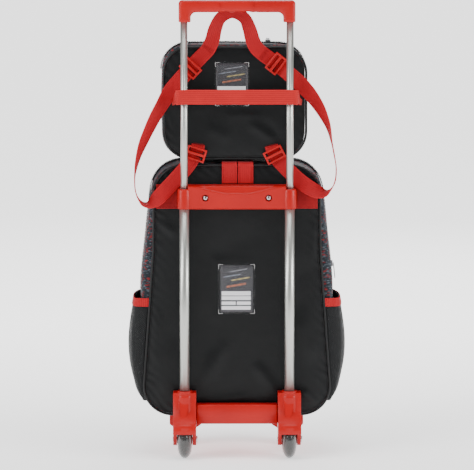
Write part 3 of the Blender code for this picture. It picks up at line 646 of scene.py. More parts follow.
RED_PLASTIC = MouldedPlastic("red_polypropylene", (0.40, 0.0055, 0.0045))
RED_BUCKLE = MouldedPlastic("red_acetal", (0.46, 0.0070, 0.0075), roughness=0.30, grain=0.00003)
DARK_PLASTIC = MouldedPlastic("dark_nylon", (0.022, 0.022, 0.024), roughness=0.42)
TUBE_METAL = DrawnMetal("satin_aluminium", (0.50, 0.51, 0.48), 0.36)
STEEL = DrawnMetal("zinc_plated_steel", (0.62, 0.62, 0.63), 0.24, metallic=1.0)
ZIP_METAL = DrawnMetal("gunmetal_zip", (0.20, 0.20, 0.21), 0.30, metallic=1.0)
SATIN = WovenFabric("black_satin_polyester", (0.0040, 0.0044, 0.0048))
TRIM = WovenFabric("black_binding", (0.0042, 0.0045, 0.0048), roughness=0.42, threads=2200.0, gloss=0.3,
                   creases=0.0004)
PRINT = PrintedFabric("dashed_print_polyester")
WEBBING = RibbedWebbing("red_herringbone_webbing", (0.41, 0.0050, 0.0100))
HANDLE_BAND = RibbedWebbing("bright_red_webbing", (0.47, 0.0110, 0.0120), width=0.024)
BAND_FABRIC = RibbedWebbing("dark_red_band", (0.29, 0.0040, 0.0065), width=0.0405, ribs=900.0, picks=900.0,
                            slant=0.0, depth=0.00012)
ELASTIC = RibbedWebbing("red_gathered_elastic", (0.42, 0.0075, 0.0110), width=0.015, ribs=1500.0, picks=310.0,
                        slant=0.0, depth=0.0005, roughness=0.7)
ZIP_TAPE = RibbedWebbing("black_zip_tape", (0.0060, 0.0060, 0.0065), width=0.026, ribs=1600.0, picks=900.0,
                         slant=0.0, depth=0.0001)
MESH = KnitMesh("black_knit_mesh")
FILM = ClearFilm("clear_vinyl")
PACK_CARD = NameCard("name_card_large", ((0.36, 0.45), (0.263, 0.345), (0.16, 0.232), (0.057, 0.135)))
SMALL_CARD = NameCard("name_card_small", ((0.36, 0.45), (0.263, 0.345), (0.13, 0.20), (0.008, 0.080)))
URETHANE = CastUrethane("smoke_urethane")
RED_THREAD = SewingThread("red_thread", (0.27, 0.004, 0.007))
BLACK_THREAD = SewingThread("black_thread", (0.0055, 0.0055, 0.0060))
WHITE_THREAD = SewingThread("white_thread", (0.75, 0.75, 0.75))


@cache
def material_of(finish: Finish) -> bpy.types.Material:
    """The material of a finish, built the first time that it is asked for."""
    return finish.material()


# -------------------- mesh making
def add_piece(bm: bmesh.types.BMesh, name: str, finish: Finish, body: Body | str, slot: Slot,
              stands_for: Sequence[str] = (), angle: float = 40.0, outward: bool = True) -> bpy.types.Object:
    """Turn a bmesh into a finished piece that rides on a body.

    Args:
        bm: the mesh, in the row frame; it is freed.
        name: the piece's name.
        finish: its finish.
        body: the body that it rides on.
        slot: the record's material slot; not used.
        stands_for: the CAD nodes that it replaces.
        angle: edges sharper than this stay sharp, in degrees.
        outward: whether the faces of this closed mesh are turned outwards first.

    Returns:
        The new object.
    """
    if outward:
        bmesh.ops.recalc_face_normals(bm, faces=bm.faces)
    mesh = bpy.data.meshes.new(name)
    bm.to_mesh(mesh)
    bm.free()
    mesh.materials.append(material_of(finish))
    mesh.shade_smooth()
    if angle < 180:
        mesh.set_sharp_from_angle(angle=math.radians(angle))
    obj = bpy.data.objects.new(name, mesh)
    bpy.context.scene.collection.objects.link(obj)
    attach(obj, body.value if isinstance(body, Body) else body)
    if stands_for:
        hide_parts(*stands_for)
    LOG.info("%s: %d faces", name, len(mesh.polygons))
    return obj


def add_modifier(obj: bpy.types.Object, kind: str, **settings: object) -> bpy.types.Modifier:
    """Add a modifier with its settings.

    Args:
        obj: the object.
        kind: Blender's name for the modifier.
        settings: its properties.

    Returns:
        The modifier.
    """
    modifier = obj.modifiers.new(kind.lower(), kind)
    for key, value in settings.items():
        setattr(modifier, key, value)
    return modifier


def thicken(obj: bpy.types.Object, thickness: float, offset: float = 0.0, rim: float = 0.0) -> None:
    """Give a sheet its thickness, and round its rim by a width.

    Args:
        obj: the sheet.
        thickness: in metres.
        offset: -1 inwards, 0 both ways, 1 outwards.
        rim: width of the rounded rim.
    """
    add_modifier(obj, "SOLIDIFY", thickness=thickness, offset=offset, use_even_offset=False)
    if rim:
        add_modifier(obj, "BEVEL", width=rim, segments=2, limit_method="ANGLE", angle_limit=math.radians(60))


def subdivide(obj: bpy.types.Object, levels: int = 1) -> None:
    """Finish a piece with a subdivision surface."""
    add_modifier(obj, "SUBSURF", levels=levels, render_levels=levels)


def sheet(columns: int, rows: int, place: Callable[[float, float], Vector],
          uv: Callable[[float, float], tuple[float, float]] | None = None,
          wrap: bool = False) -> bmesh.types.BMesh:
    """A grid bent into shape.

    Args:
        columns: faces along its first direction.
        rows: faces along its second direction.
        place: where the corner at shares (s, t) of the two directions goes.
        uv: its UV coordinates, or None for (s, t).
        wrap: whether sides that meet are joined.

    Returns:
        The bmesh, with a UV map.
    """
    bm = bmesh.new()
    layer = bm.loops.layers.uv.new("UVMap")
    bmesh.ops.create_grid(bm, x_segments=columns, y_segments=rows, size=0.5)
    shares = {vert: (round((vert.co.x + 0.5) * columns) / columns, round((vert.co.y + 0.5) * rows) / rows)
              for vert in bm.verts}
    for face in bm.faces:
        for loop in face.loops:
            spot = shares[loop.vert]
            loop[layer].uv = uv(*spot) if uv else spot
    for vert, (s, t) in shares.items():
        vert.co = place(s, t)
    if wrap:
        bmesh.ops.remove_doubles(bm, verts=bm.verts, dist=WELD)
    return bm


def close_ends(bm: bmesh.types.BMesh) -> bmesh.types.BMesh:
    """Fill the open rings of a shell."""
    bmesh.ops.holes_fill(bm, edges=[edge for edge in bm.edges if edge.is_boundary], sides=0)
    return bm


def catmull(a: Vector, b: Vector, c: Vector, d: Vector, t: float) -> Vector:
    """A point between b and c on the smooth curve through four."""
    return 0.5 * (2 * b + (c - a) * t + (2 * a - 5 * b + 4 * c - d) * t**2 + (3 * b - a - 3 * c + d) * t**3)


def even_path(points: Sequence[Vector], spacing: float, closed: bool = False) -> list[Vector]:
    """Points at an even spacing along a line through points.

    Args:
        points: the line.
        spacing: wanted gap.
        closed: whether the line is a loop.

    Returns:
        The new points.
    """
    line = [*points, points[0]] if closed else list(points)
    lengths = [0.0]
    for here, after in zip(line, line[1:]):
        lengths.append(lengths[-1] + (after - here).length)
    count = max(round(lengths[-1] / spacing), 2)
    result, index = [], 0
    for k in range(count if closed else count + 1):
        reach = lengths[-1] * k / count
        while index < len(line) - 2 and lengths[index + 1] < reach:
            index += 1
        span = max(lengths[index + 1] - lengths[index], 1e-9)
        result.append(line[index].lerp(line[index + 1], (reach - lengths[index]) / span))
    return result


def frame_at(run: Vector, up: Vector, origin: Vector) -> Matrix:
    """A matrix whose X runs along a line and whose Z points away from a surface.

    Args:
        run: direction of the line.
        up: direction away from the surface.
        origin: where the frame stands.

    Returns:
        The matrix.
    """
    along = run.normalized()
    side = up.cross(along).normalized()
    top = along.cross(side)
    return Matrix.Translation(origin) @ Matrix((along, side, top)).transposed().to_4x4()


def cord_mesh(path: Sequence[Vector], radius: float, closed: bool = False,
              sides: int = 10) -> bmesh.types.BMesh:
    """A round cord along a path.

    Args:
        path: points close together.
        radius: the cord's radius.
        closed: whether its ends meet.
        sides: faces round it.

    Returns:
        The bmesh.
    """
    line = [*path, path[0]] if closed else list(path)
    last = len(line) - 1
    frames = []
    for i, point in enumerate(line):
        before = line[i - 1] if i else (line[-2] if closed else line[0])
        after = line[i + 1] if i < last else (line[1] if closed else line[-1])
        run = (after - before).normalized()
        frames.append(frame_at(run, Vector((0, 1, 0)) if abs(run.y) < 0.95 else UP, point))

    def place(s: float, t: float) -> Vector:
        """A point on the cord's skin."""
        turn = math.tau * t
        return frames[round(s * last)] @ Vector((0, radius * math.cos(turn), radius * math.sin(turn)))

    bm = sheet(last, sides, place, wrap=True)
    return bm if closed else close_ends(bm)


def revolve(profile: Sequence[tuple[float, float]], centre: Vector, axis: Vector, steps: int = 48,
            closed: bool = True) -> bmesh.types.BMesh:
    """A turned shape.

    Args:
        profile: (radius, distance along the axis) points.
        centre: the point on the axis that distances start from.
        axis: the axis's direction.
        steps: faces round it.
        closed: whether the profile's last point joins its first.

    Returns:
        The bmesh.
    """
    along = axis.normalized()
    across = along.orthogonal().normalized()
    bm = bmesh.new()
    verts = [bm.verts.new(centre + across * radius + along * reach) for radius, reach in profile]
    pairs = list(zip(verts, verts[1:] + verts[:1]))
    edges = [bm.edges.new(pair) for pair in (pairs if closed else pairs[:-1])]
    bmesh.ops.spin(bm, geom=verts + edges, cent=centre, axis=along, angle=math.tau, steps=steps,
                   use_merge=True)
    bmesh.ops.remove_doubles(bm, verts=bm.verts, dist=WELD)
    return bm


def add_bmesh(target: bmesh.types.BMesh, source: bmesh.types.BMesh) -> None:
    """Join one bmesh onto another and free it.

    Args:
        target: the bmesh that grows.
        source: the bmesh that is used up.
    """
    mesh = bpy.data.meshes.new("joined")
    source.to_mesh(mesh)
    source.free()
    target.from_mesh(mesh)
    bpy.data.meshes.remove(mesh)


def rounded_block(low: Vector, high: Vector, radius: float, segments: int = 3) -> bmesh.types.BMesh:
    """A block between two corners with rounded edges.

    Args:
        low: lowest corner.
        high: highest corner.
        radius: of the edges.
        segments: steps of each rounding.

    Returns:
        The block.
    """
    bm = bmesh.new()
    bmesh.ops.create_cube(bm, size=1.0)
    bmesh.ops.scale(bm, vec=high - low, verts=bm.verts)
    bmesh.ops.translate(bm, vec=(low + high) / 2, verts=bm.verts)
    bmesh.ops.bevel(bm, geom=bm.edges[:], offset=radius, segments=segments, affect="EDGES", profile=0.5,
                    material=-1)
    return bm


def smoothstep(low: float, high: float, value: float) -> float:
    """0 below low, 1 above high and a smooth rise between them."""
    t = min(max((value - low) / (high - low), 0.0), 1.0)
    return t * t * (3 - 2 * t)


def bead_mesh() -> bpy.types.Mesh:
    """A small round bead of radius 1 whose poles lie on X.

    Returns:
        The mesh, which every bead shares.
    """
    bm = bmesh.new()
    turn = Matrix.Rotation(math.pi / 2, 4, "Y")
    bmesh.ops.create_uvsphere(bm, u_segments=6, v_segments=4, radius=1.0, matrix=turn)
    mesh = bpy.data.meshes.new("bead")
    bm.to_mesh(mesh)
    bm.free()
    return mesh


def stitch(bm: bmesh.types.BMesh, path: Sequence[Vector], normals: Sequence[Vector] | Vector,
           pitch: float = 0.0034, length: float = 0.0025, thread: float = 0.00035) -> None:
    """Lay a row of stitches along a path.

    Args:
        bm: the bmesh that takes the stitches.
        path: the line on the surface.
        normals: the surface's direction at each point, or one for all.
        pitch: distance from stitch to stitch.
        length: length of one stitch.
        thread: half the thread's width.
    """
    spots = even_path(path, pitch)
    bead = bead_mesh()
    for index, (here, after) in enumerate(zip(spots, spots[1:])):
        if isinstance(normals, Vector):
            up = normals
        else:
            up = normals[min(round(index / max(len(spots) - 1, 1) * (len(normals) - 1)), len(normals) - 1)]
        size = Matrix.Diagonal((length / 2, thread, thread, 1))
        matrix = frame_at(after - here, up, (here + after) / 2) @ size
        bead.transform(matrix)
        bm.from_mesh(bead)
        bead.transform(matrix.inverted())
    bpy.data.meshes.remove(bead)


class Surface:
    """The finished skin of a piece, to lay other pieces on."""

    def __init__(self, *objects: bpy.types.Object) -> None:
        """Read the evaluated meshes of the objects.

        Args:
            objects: meshes whose faces make the surface.
        """
        bm = bmesh.new()
        graph = bpy.context.evaluated_depsgraph_get()
        for obj in objects:
            bm.from_mesh(obj.evaluated_get(graph).to_mesh())
        self.tree = BVHTree.FromBMesh(bm)
        bm.free()

    def lay(self, point: Vector, lift: float = 0.0) -> tuple[Vector, Vector]:
        """The nearest point of the skin, lifted off it, and the direction away from it."""
        spot, normal, _, _ = self.tree.find_nearest(point)
        return spot + normal * lift, normal


# -------------------- outlines
@dataclass(frozen=True)
class Contour:
    """A closed outline, the same on both sides of its middle line.

    Attributes:
        corners: (x, z, radius) of its +X half from the bottom up.
        centre: x of its middle line.
        steps: segments of each round corner.
    """

    corners: tuple[tuple[float, float, float], ...]
    centre: float = 0.0
    steps: int = 14

    def inset(self, depth: float) -> "Contour":
        """The same outline, smaller by a depth all round.

        Args:
            depth: how far the outline moves inwards.

        Returns:
            The smaller outline.
        """
        last = len(self.corners) - 1
        lift = {0: depth, last: -depth}
        corners = tuple((x - depth, z + lift.get(i, 0.0), max(radius - depth, 0.004))
                        for i, (x, z, radius) in enumerate(self.corners))
        return Contour(corners, self.centre, self.steps)

    def points(self) -> list[Vector]:
        """Its (x, z) points, with round corners as arcs.

        Returns:
            The points in order, as vectors with y 0.
        """
        whole = [*self.corners, *((-x, z, radius) for x, z, radius in reversed(self.corners))]
        result = []
        for i, (x, z, radius) in enumerate(whole):
            here = Vector((x, z))
            before = (Vector(whole[i - 1][:2]) - here).normalized()
            after = (Vector(whole[(i + 1) % len(whole)][:2]) - here).normalized()
            half = before.angle(after) / 2
            hub = here + (before + after).normalized() * (radius / math.sin(half))
            first = here + before * (radius / math.tan(half)) - hub
            sweep = (math.pi - 2 * half) * (1 if before.cross(after) < 0 else -1)
            for k in range(self.steps + 1):
                spot = hub + Matrix.Rotation(sweep * k / self.steps, 2) @ first
                result.append(Vector((spot.x + self.centre, spot.y)))
        return result

    def ring(self, y: float, spacing: float = 0.004) -> list[Vector]:
        """Evenly spaced points of the outline in an XZ plane."""
        return even_path([Vector((point.x, y, point.y)) for point in self.points()], spacing, closed=True)

    @property
    def low(self) -> float:
        """Its lowest z."""
        return self.corners[0][1]

    @property
    def high(self) -> float:
        """Its highest z."""
        return self.corners[-1][1]

    def half_widths(self) -> Callable[[float], float]:
        """A function that gives its half width at a height.

        Returns:
            The function of height.
        """
        right = sorted(((point.y, point.x - self.centre) for point in self.points() if point.x > self.centre))

        def width(z: float) -> float:
            """Half width at z.

            Args:
                z: height.

            Returns:
                Half of the width, or 0 outside the outline.
            """
            if z <= right[0][0]:
                return right[0][1]
            for (z_low, x_low), (z_high, x_high) in zip(right, right[1:]):
                if z <= z_high:
                    return x_low + (x_high - x_low) * (z - z_low) / max(z_high - z_low, 1e-9)
            return right[-1][1]

        return width


@dataclass(frozen=True)
class Fold:
    """A soft crease across a panel: a ridge, or a hollow where its height is negative."""

    start: tuple[float, float]
    end: tuple[float, float]
    height: float
    width: float

    def lift(self, x: float, z: float) -> float:
        """How far it lifts the panel at a point.

        Args:
            x: across.
            z: height.

        Returns:
            The lift in metres.
        """
        start, end, spot = Vector(self.start), Vector(self.end), Vector((x, z))
        run = end - start
        share = (spot - start).dot(run) / run.length_squared
        side = (spot - (start + run * min(max(share, 0.0), 1.0))).length
        fade = smoothstep(-0.15, 0.3, share) * (1 - smoothstep(0.7, 1.15, share))
        return 1.5 * self.height * fade * math.exp(-((side / self.width) ** 2))


# -------------------- soft pieces
@dataclass(frozen=True)
class Webbing:
    """A length of flat webbing through stations, each a point and the direction of its width."""

    name: str
    stations: tuple[Station, ...]
    width: float = 0.025
    thick: float = 0.0015
    finish: RibbedWebbing = WEBBING
    crown: float = 0.0003
    gathered: float = 1.0        # share of the width that is left at both ends
    lanes: int = 6               # faces across it
    steps: int = 6               # faces from station to station

    def rows(self) -> list[tuple[Vector, Vector, Vector]]:
        """Centre, width direction and face direction, read from a smooth curve through the stations.

        Returns:
            A triple for each row.
        """
        whole = [(Vector(point), Vector(across)) for point, across in self.stations]
        whole = [whole[0], *whole, whole[-1]]
        line = []
        for a, b, c, d in zip(whole, whole[1:], whole[2:], whole[3:]):
            for k in range(self.steps):
                line.append([catmull(a[i], b[i], c[i], d[i], k / self.steps) for i in range(2)])
        line.append(list(whole[-1]))
        result = []
        for i, (centre, across) in enumerate(line):
            run = (line[min(i + 1, len(line) - 1)][0] - line[max(i - 1, 0)][0]).normalized()
            side = (across - run * across.dot(run)).normalized()
            result.append((centre, side, run.cross(side)))
        return result

    def build(self, body: Body, stands_for: Sequence[str] = (), slot: Slot = Slot.RED_WEBBING) -> None:
        """Make the webbing.

        Args:
            body: the body that it rides on.
            stands_for: the CAD nodes that it replaces.
            slot: the record's material slot.
        """
        rows = self.rows()
        last = len(rows) - 1
        reach = [0.0]
        for here, after in zip(rows, rows[1:]):
            reach.append(reach[-1] + (after[0] - here[0]).length)

        def place(s: float, t: float) -> Vector:
            """A point of the webbing's middle sheet.

            Args:
                s: share of its length.
                t: share of its width.

            Returns:
                The point.
            """
            centre, side, face = rows[round(s * last)]
            off = t * 2 - 1
            near = min(reach[round(s * last)], reach[-1] - reach[round(s * last)])
            kept = self.gathered + (1 - self.gathered) * smoothstep(0.0, 0.045, near)
            ripple = noise.noise(Vector((reach[round(s * last)] * 60, off, 0.0))) * 0.0003
            off_edge = 1 - (1 - off) * kept
            rise = self.crown * (1 - off * off) + ripple * off
            return centre + side * (off_edge * self.width / 2) + face * rise

        def uv(s: float, t: float) -> tuple[float, float]:
            """Across and along, in metres."""
            return (t - 0.5) * self.width, reach[round(s * last)]

        bm = sheet(last, self.lanes, place, uv)
        obj = add_piece(bm, self.name, self.finish, body, slot, stands_for, angle=180, outward=False)
        thicken(obj, self.thick, rim=0.0004)

    def tack(self, bm: bmesh.types.BMesh, row: int, lines: int = 3, gap: float = 0.0022) -> None:
        """Sew rows of stitches across the webbing near one of its stations.

        Args:
            bm: mesh that takes the stitches.
            row: index of the row of stations.
            lines: how many rows of stitches.
            gap: distance between them.
        """
        rows = self.rows()
        last = len(rows) - 1
        index = min(row * self.steps, last)
        run = (rows[min(index + 1, last)][0] - rows[max(index - 1, 0)][0]).normalized()
        for k in range(lines):
            _, side, face = rows[max(min(index + k - lines // 2, last), 0)]
            centre = rows[index][0] + run * (gap * (k - (lines - 1) / 2))
            up = face if face.y < 0 else -face
            spot = centre + up * (self.thick / 2 + self.crown + 0.0001)
            half = side * (self.width / 2 - 0.002)
            stitch(bm, [spot - half, spot + half], up, pitch=0.0024, length=0.0021)


@dataclass(frozen=True)
class SewnPanel:
    """A crowned back panel with soft folds and puckers along its rim."""

    name: str
    contour: Contour
    front: float                 # world Y of its crown
    seam: float                  # world Y of its edge
    thick: float
    folds: tuple[Fold, ...]
    quiet: tuple[float, float, float, float] = (0.0, 0.0, 0.0, 0.0)     # box that stays flat: x, x, z, z
    columns: int = 150
    rows: int = 190

    def level(self, x: float, z: float, u: float, t: float) -> float:
        """World Y of the panel's face.

        Args:
            x: place across.
            z: place up.
            u: share of the half width, -1 to 1.
            t: share of the height, 0 to 1.

        Returns:
            The Y of its face there.
        """
        rim = (1 - abs(u) ** 6) * (1 - abs(2 * t - 1) ** 8)
        soft = noise.noise(Vector((x * 22, z * 9, 1.7))) * 0.0005
        soft += noise.noise(Vector((x * 55, z * 38, 5.1))) * 0.0002
        drift = 3 * noise.noise(Vector((x * 30, z * 30, 0.0)))
        pucker = (1 - rim) ** 2 * math.sin((x + z) * 330 + drift) * 0.0004
        left, right, low, high = self.quiet
        calm = smoothstep(0.0, 0.012, max(left - x, x - right, low - z, z - high))
        lift = sum(fold.lift(x, z) for fold in self.folds) + soft
        return self.seam + (self.front - self.seam) * rim - (lift * calm * min(rim * 1.6, 1.0)) + pucker

    def build(self, body: Body, stands_for: Sequence[str]) -> None:
        """Make the panel.

        Args:
            body: the body the piece moves with.
            stands_for: names of the plain pieces it replaces.
        """
        width = self.contour.half_widths()
        low, high = self.contour.low, self.contour.high

        def place(s: float, t: float) -> Vector:
            """A point of the panel's face; rows close up towards the top and the bottom.

            Args:
                s: share of the way across.
                t: share of the way up.

            Returns:
                The point.
            """
            share = t - math.sin(math.tau * t) / math.tau * 0.85
            z = low + (high - low) * share
            u = math.sin((s - 0.5) * math.pi * 0.98) / math.sin(math.pi * 0.49)
            x = self.contour.centre + u * width(z)
            return Vector((x, self.level(x, z, u, share), z))

        bm = sheet(self.columns, self.rows, place)
        obj = add_piece(bm, self.name, SATIN, body, Slot.BLACK_FABRIC, stands_for, angle=180, outward=False)
        thicken(obj, self.thick, offset=-1.0 if obj.data.polygons[0].normal.y < 0 else 1.0)


@dataclass(frozen=True)
class SoftShell:
    """The sewn and stuffed body of a bag: lofted rings, puffed out by a cloth simulation."""

    name: str
    contour: Contour
    rings: tuple[tuple[float, float], ...]       # (world Y, inset from the contour)
    held: tuple[float, ...]                      # world Y of the seams and zips that don't swell
    swell: float = 0.0045
    voxel: float = 0.006
    held_reach: float = 0.008
    pressure: float = 4.0
    frames: int = 20

    def start_mesh(self) -> bpy.types.Object:
        """The loft through its rings, closed and remeshed.

        Returns:
            The shell before it is puffed out.
        """
        count = 120
        loops = []
        for y, inset in self.rings:
            line = [Vector((p.x, y, p.y)) for p in self.contour.inset(inset).points()]
            length = sum((b - a).length for a, b in zip(line, line[1:] + line[:1]))
            loops.append(even_path(line, length / count, closed=True))
        last = len(loops) - 1

        def place(s: float, t: float) -> Vector:
            """A point of one of the rings."""
            return loops[round(t * last)][round(s * count) % count]

        bm = close_ends(sheet(count, last, place, wrap=True))
        bmesh.ops.recalc_face_normals(bm, faces=bm.faces)
        mesh = bpy.data.meshes.new(self.name + "_start")
        bm.to_mesh(mesh)
        bm.free()
        obj = bpy.data.objects.new(self.name + "_start", mesh)
        bpy.context.scene.collection.objects.link(obj)
        add_modifier(obj, "REMESH", mode="VOXEL", voxel_size=self.voxel)
        return apply_modifiers(obj)

    def simulate(self, obj: bpy.types.Object) -> None:
        """Puff the cloth out between its held seams, then cap how far each point has moved.

        Args:
            obj: the object.
        """
        rest = [vert.co.copy() for vert in obj.data.vertices]
        pins = obj.vertex_groups.new(name="pins")
        for vert in obj.data.vertices:
            gap = min(abs(vert.co.y - y) for y in self.held)
            pins.add([vert.index], 1 - smoothstep(self.held_reach * 0.5, self.held_reach, gap), "REPLACE")
        cloth = add_modifier(obj, "CLOTH").settings
        cloth.quality = 5
        cloth.use_pressure = True
        cloth.uniform_pressure_force = self.pressure
        cloth.effector_weights.gravity = 0.0
        cloth.vertex_group_mass = "pins"
        scene = bpy.context.scene
        for step in range(self.frames):
            scene.frame_set(step + 1)
        apply_modifiers(obj)
        scene.frame_set(1)
        for vert, start in zip(obj.data.vertices, rest):
            move = vert.co - start
            if move.length > 1e-7:
                vert.co = start + move.normalized() * (self.swell * math.tanh(move.length / self.swell))
        obj.vertex_groups.clear()

    def build(self, body: Body, stands_for: Sequence[str]) -> bpy.types.Object:
        """Make the shell with its puckers and slight creases.

        Args:
            body: the body the piece moves with.
            stands_for: names of the plain pieces it replaces.

        Returns:
            The finished shell.
        """
        obj = self.start_mesh()
        self.simulate(obj)
        normals = [vert.normal.copy() for vert in obj.data.vertices]
        for vert, normal in zip(obj.data.vertices, normals):
            x, y, z = vert.co
            gap = min(abs(y - held) for held in self.held)
            wave = noise.noise(Vector((x * 26, y * 8, z * 26)))
            pucker = math.exp(-gap / 0.012) * (1 - math.exp(-gap / 0.003)) * wave * 0.0012
            vert.co += normal * (pucker + noise.noise(Vector((x * 13, y * 17, z * 11 + 4))) * 0.0007)
        bm = bmesh.new()
        bm.from_mesh(obj.data)
        bpy.data.objects.remove(obj, do_unlink=True)
        made = add_piece(bm, self.name, PRINT, body, Slot.PRINT_FABRIC, stands_for, angle=180)
        subdivide(made)
        return made


def apply_modifiers(obj: bpy.types.Object) -> bpy.types.Object:
    """Make an object's evaluated mesh its own.

    Args:
        obj: the object.

    Returns:
        The same object, without modifiers.
    """
    graph = bpy.context.evaluated_depsgraph_get()
    mesh = bpy.data.meshes.new_from_object(obj.evaluated_get(graph))
    obj.modifiers.clear()
    obj.data = mesh
    return obj


@dataclass(frozen=True)
class ZipLine:
    """A zip laid on a bag: its tape, its teeth and its rows of stitches."""

    name: str
    path: tuple[Vector, ...]
    across: Vector
    body: Body
    tape: float = 0.026
    pitch: float = 0.0026
    tooth: tuple[float, float, float] = (0.0015, 0.0036, 0.0016)     # along, across and up

    def build(self, surface: Surface) -> None:
        """Lay the zip on the bag's skin.

        Args:
            surface: the skin that the zip lies on.
        """
        spots = [surface.lay(point, 0.0009) for point in even_path(self.path, 0.006)]
        stations = tuple((tuple(spot), tuple(self.across)) for spot, _ in spots)
        strip = Webbing(f"{self.name}_tape", stations, self.tape, 0.0007, ZIP_TAPE, 0.0, lanes=4, steps=2)
        strip.build(self.body, slot=Slot.BLACK_FABRIC)
        teeth = bmesh.new()
        sewing = bmesh.new()
        line = even_path([spot for spot, _ in spots], self.pitch)
        for index, (here, after) in enumerate(zip(line, line[1:])):
            _, normal = surface.lay(here)
            side = self.across * (0.0009 if index % 2 else -0.0009)
            matrix = frame_at(after - here, normal, here + normal * 0.0012 + side)
            bmesh.ops.create_cube(teeth, size=1.0, matrix=matrix @ Matrix.Diagonal((*self.tooth, 1)))
        normals = [normal for _, normal in spots]
        for shift in (-0.42, 0.42):
            edge = [spot + self.across * (self.tape * shift) + normal * 0.0006 for spot, normal in spots]
            stitch(sewing, edge, normals)
        add_piece(teeth, f"{self.name}_teeth", DARK_PLASTIC, self.body, Slot.DARK_PLASTIC)
        add_piece(sewing, f"{self.name}_stitches", BLACK_THREAD, self.body, Slot.BLACK_FABRIC)


# -------------------- trolley and handle
@dataclass(frozen=True)
class RailPair:
    """The two like tubes of one stage of the handle, with longitudinal flutes."""

    node: str
    body: Body
    wall: float
    flutes: int
    flute_depth: float

    def build(self) -> None:
        """Make both tubes from a circle drawn up along Z."""
        for side, _ in SIDES:
            name = f"{self.node}_{side}"
            low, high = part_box(name)
            centre, radius = (low + high) / 2, (high.x - low.x) / 2
            bm = bmesh.new()
            bmesh.ops.create_circle(bm, segments=96, radius=radius)
            for vert in bm.verts:
                angle = math.atan2(vert.co.y, vert.co.x)
                flute = max(math.cos(angle * self.flutes), 0.0) ** 6 if self.flutes else 0.0
                vert.co *= 1 - self.flute_depth / radius * flute
            bmesh.ops.translate(bm, vec=(centre.x, centre.y, low.z), verts=bm.verts)
            grown = bmesh.ops.extrude_edge_only(bm, edges=bm.edges[:])
            top = [item for item in grown["geom"] if isinstance(item, bmesh.types.BMVert)]
            bmesh.ops.translate(bm, vec=(0, 0, high.z - low.z), verts=top)
            bmesh.ops.recalc_face_normals(bm, faces=bm.faces)
            obj = add_piece(bm, f"{name}_skin", TUBE_METAL, self.body, Slot.TUBE_METAL, [name], outward=False)
            flip = (obj.data.polygons[0].center - centre).xy.dot(obj.data.polygons[0].normal.xy) > 0
            thicken(obj, self.wall, offset=-1.0 if flip else 1.0)


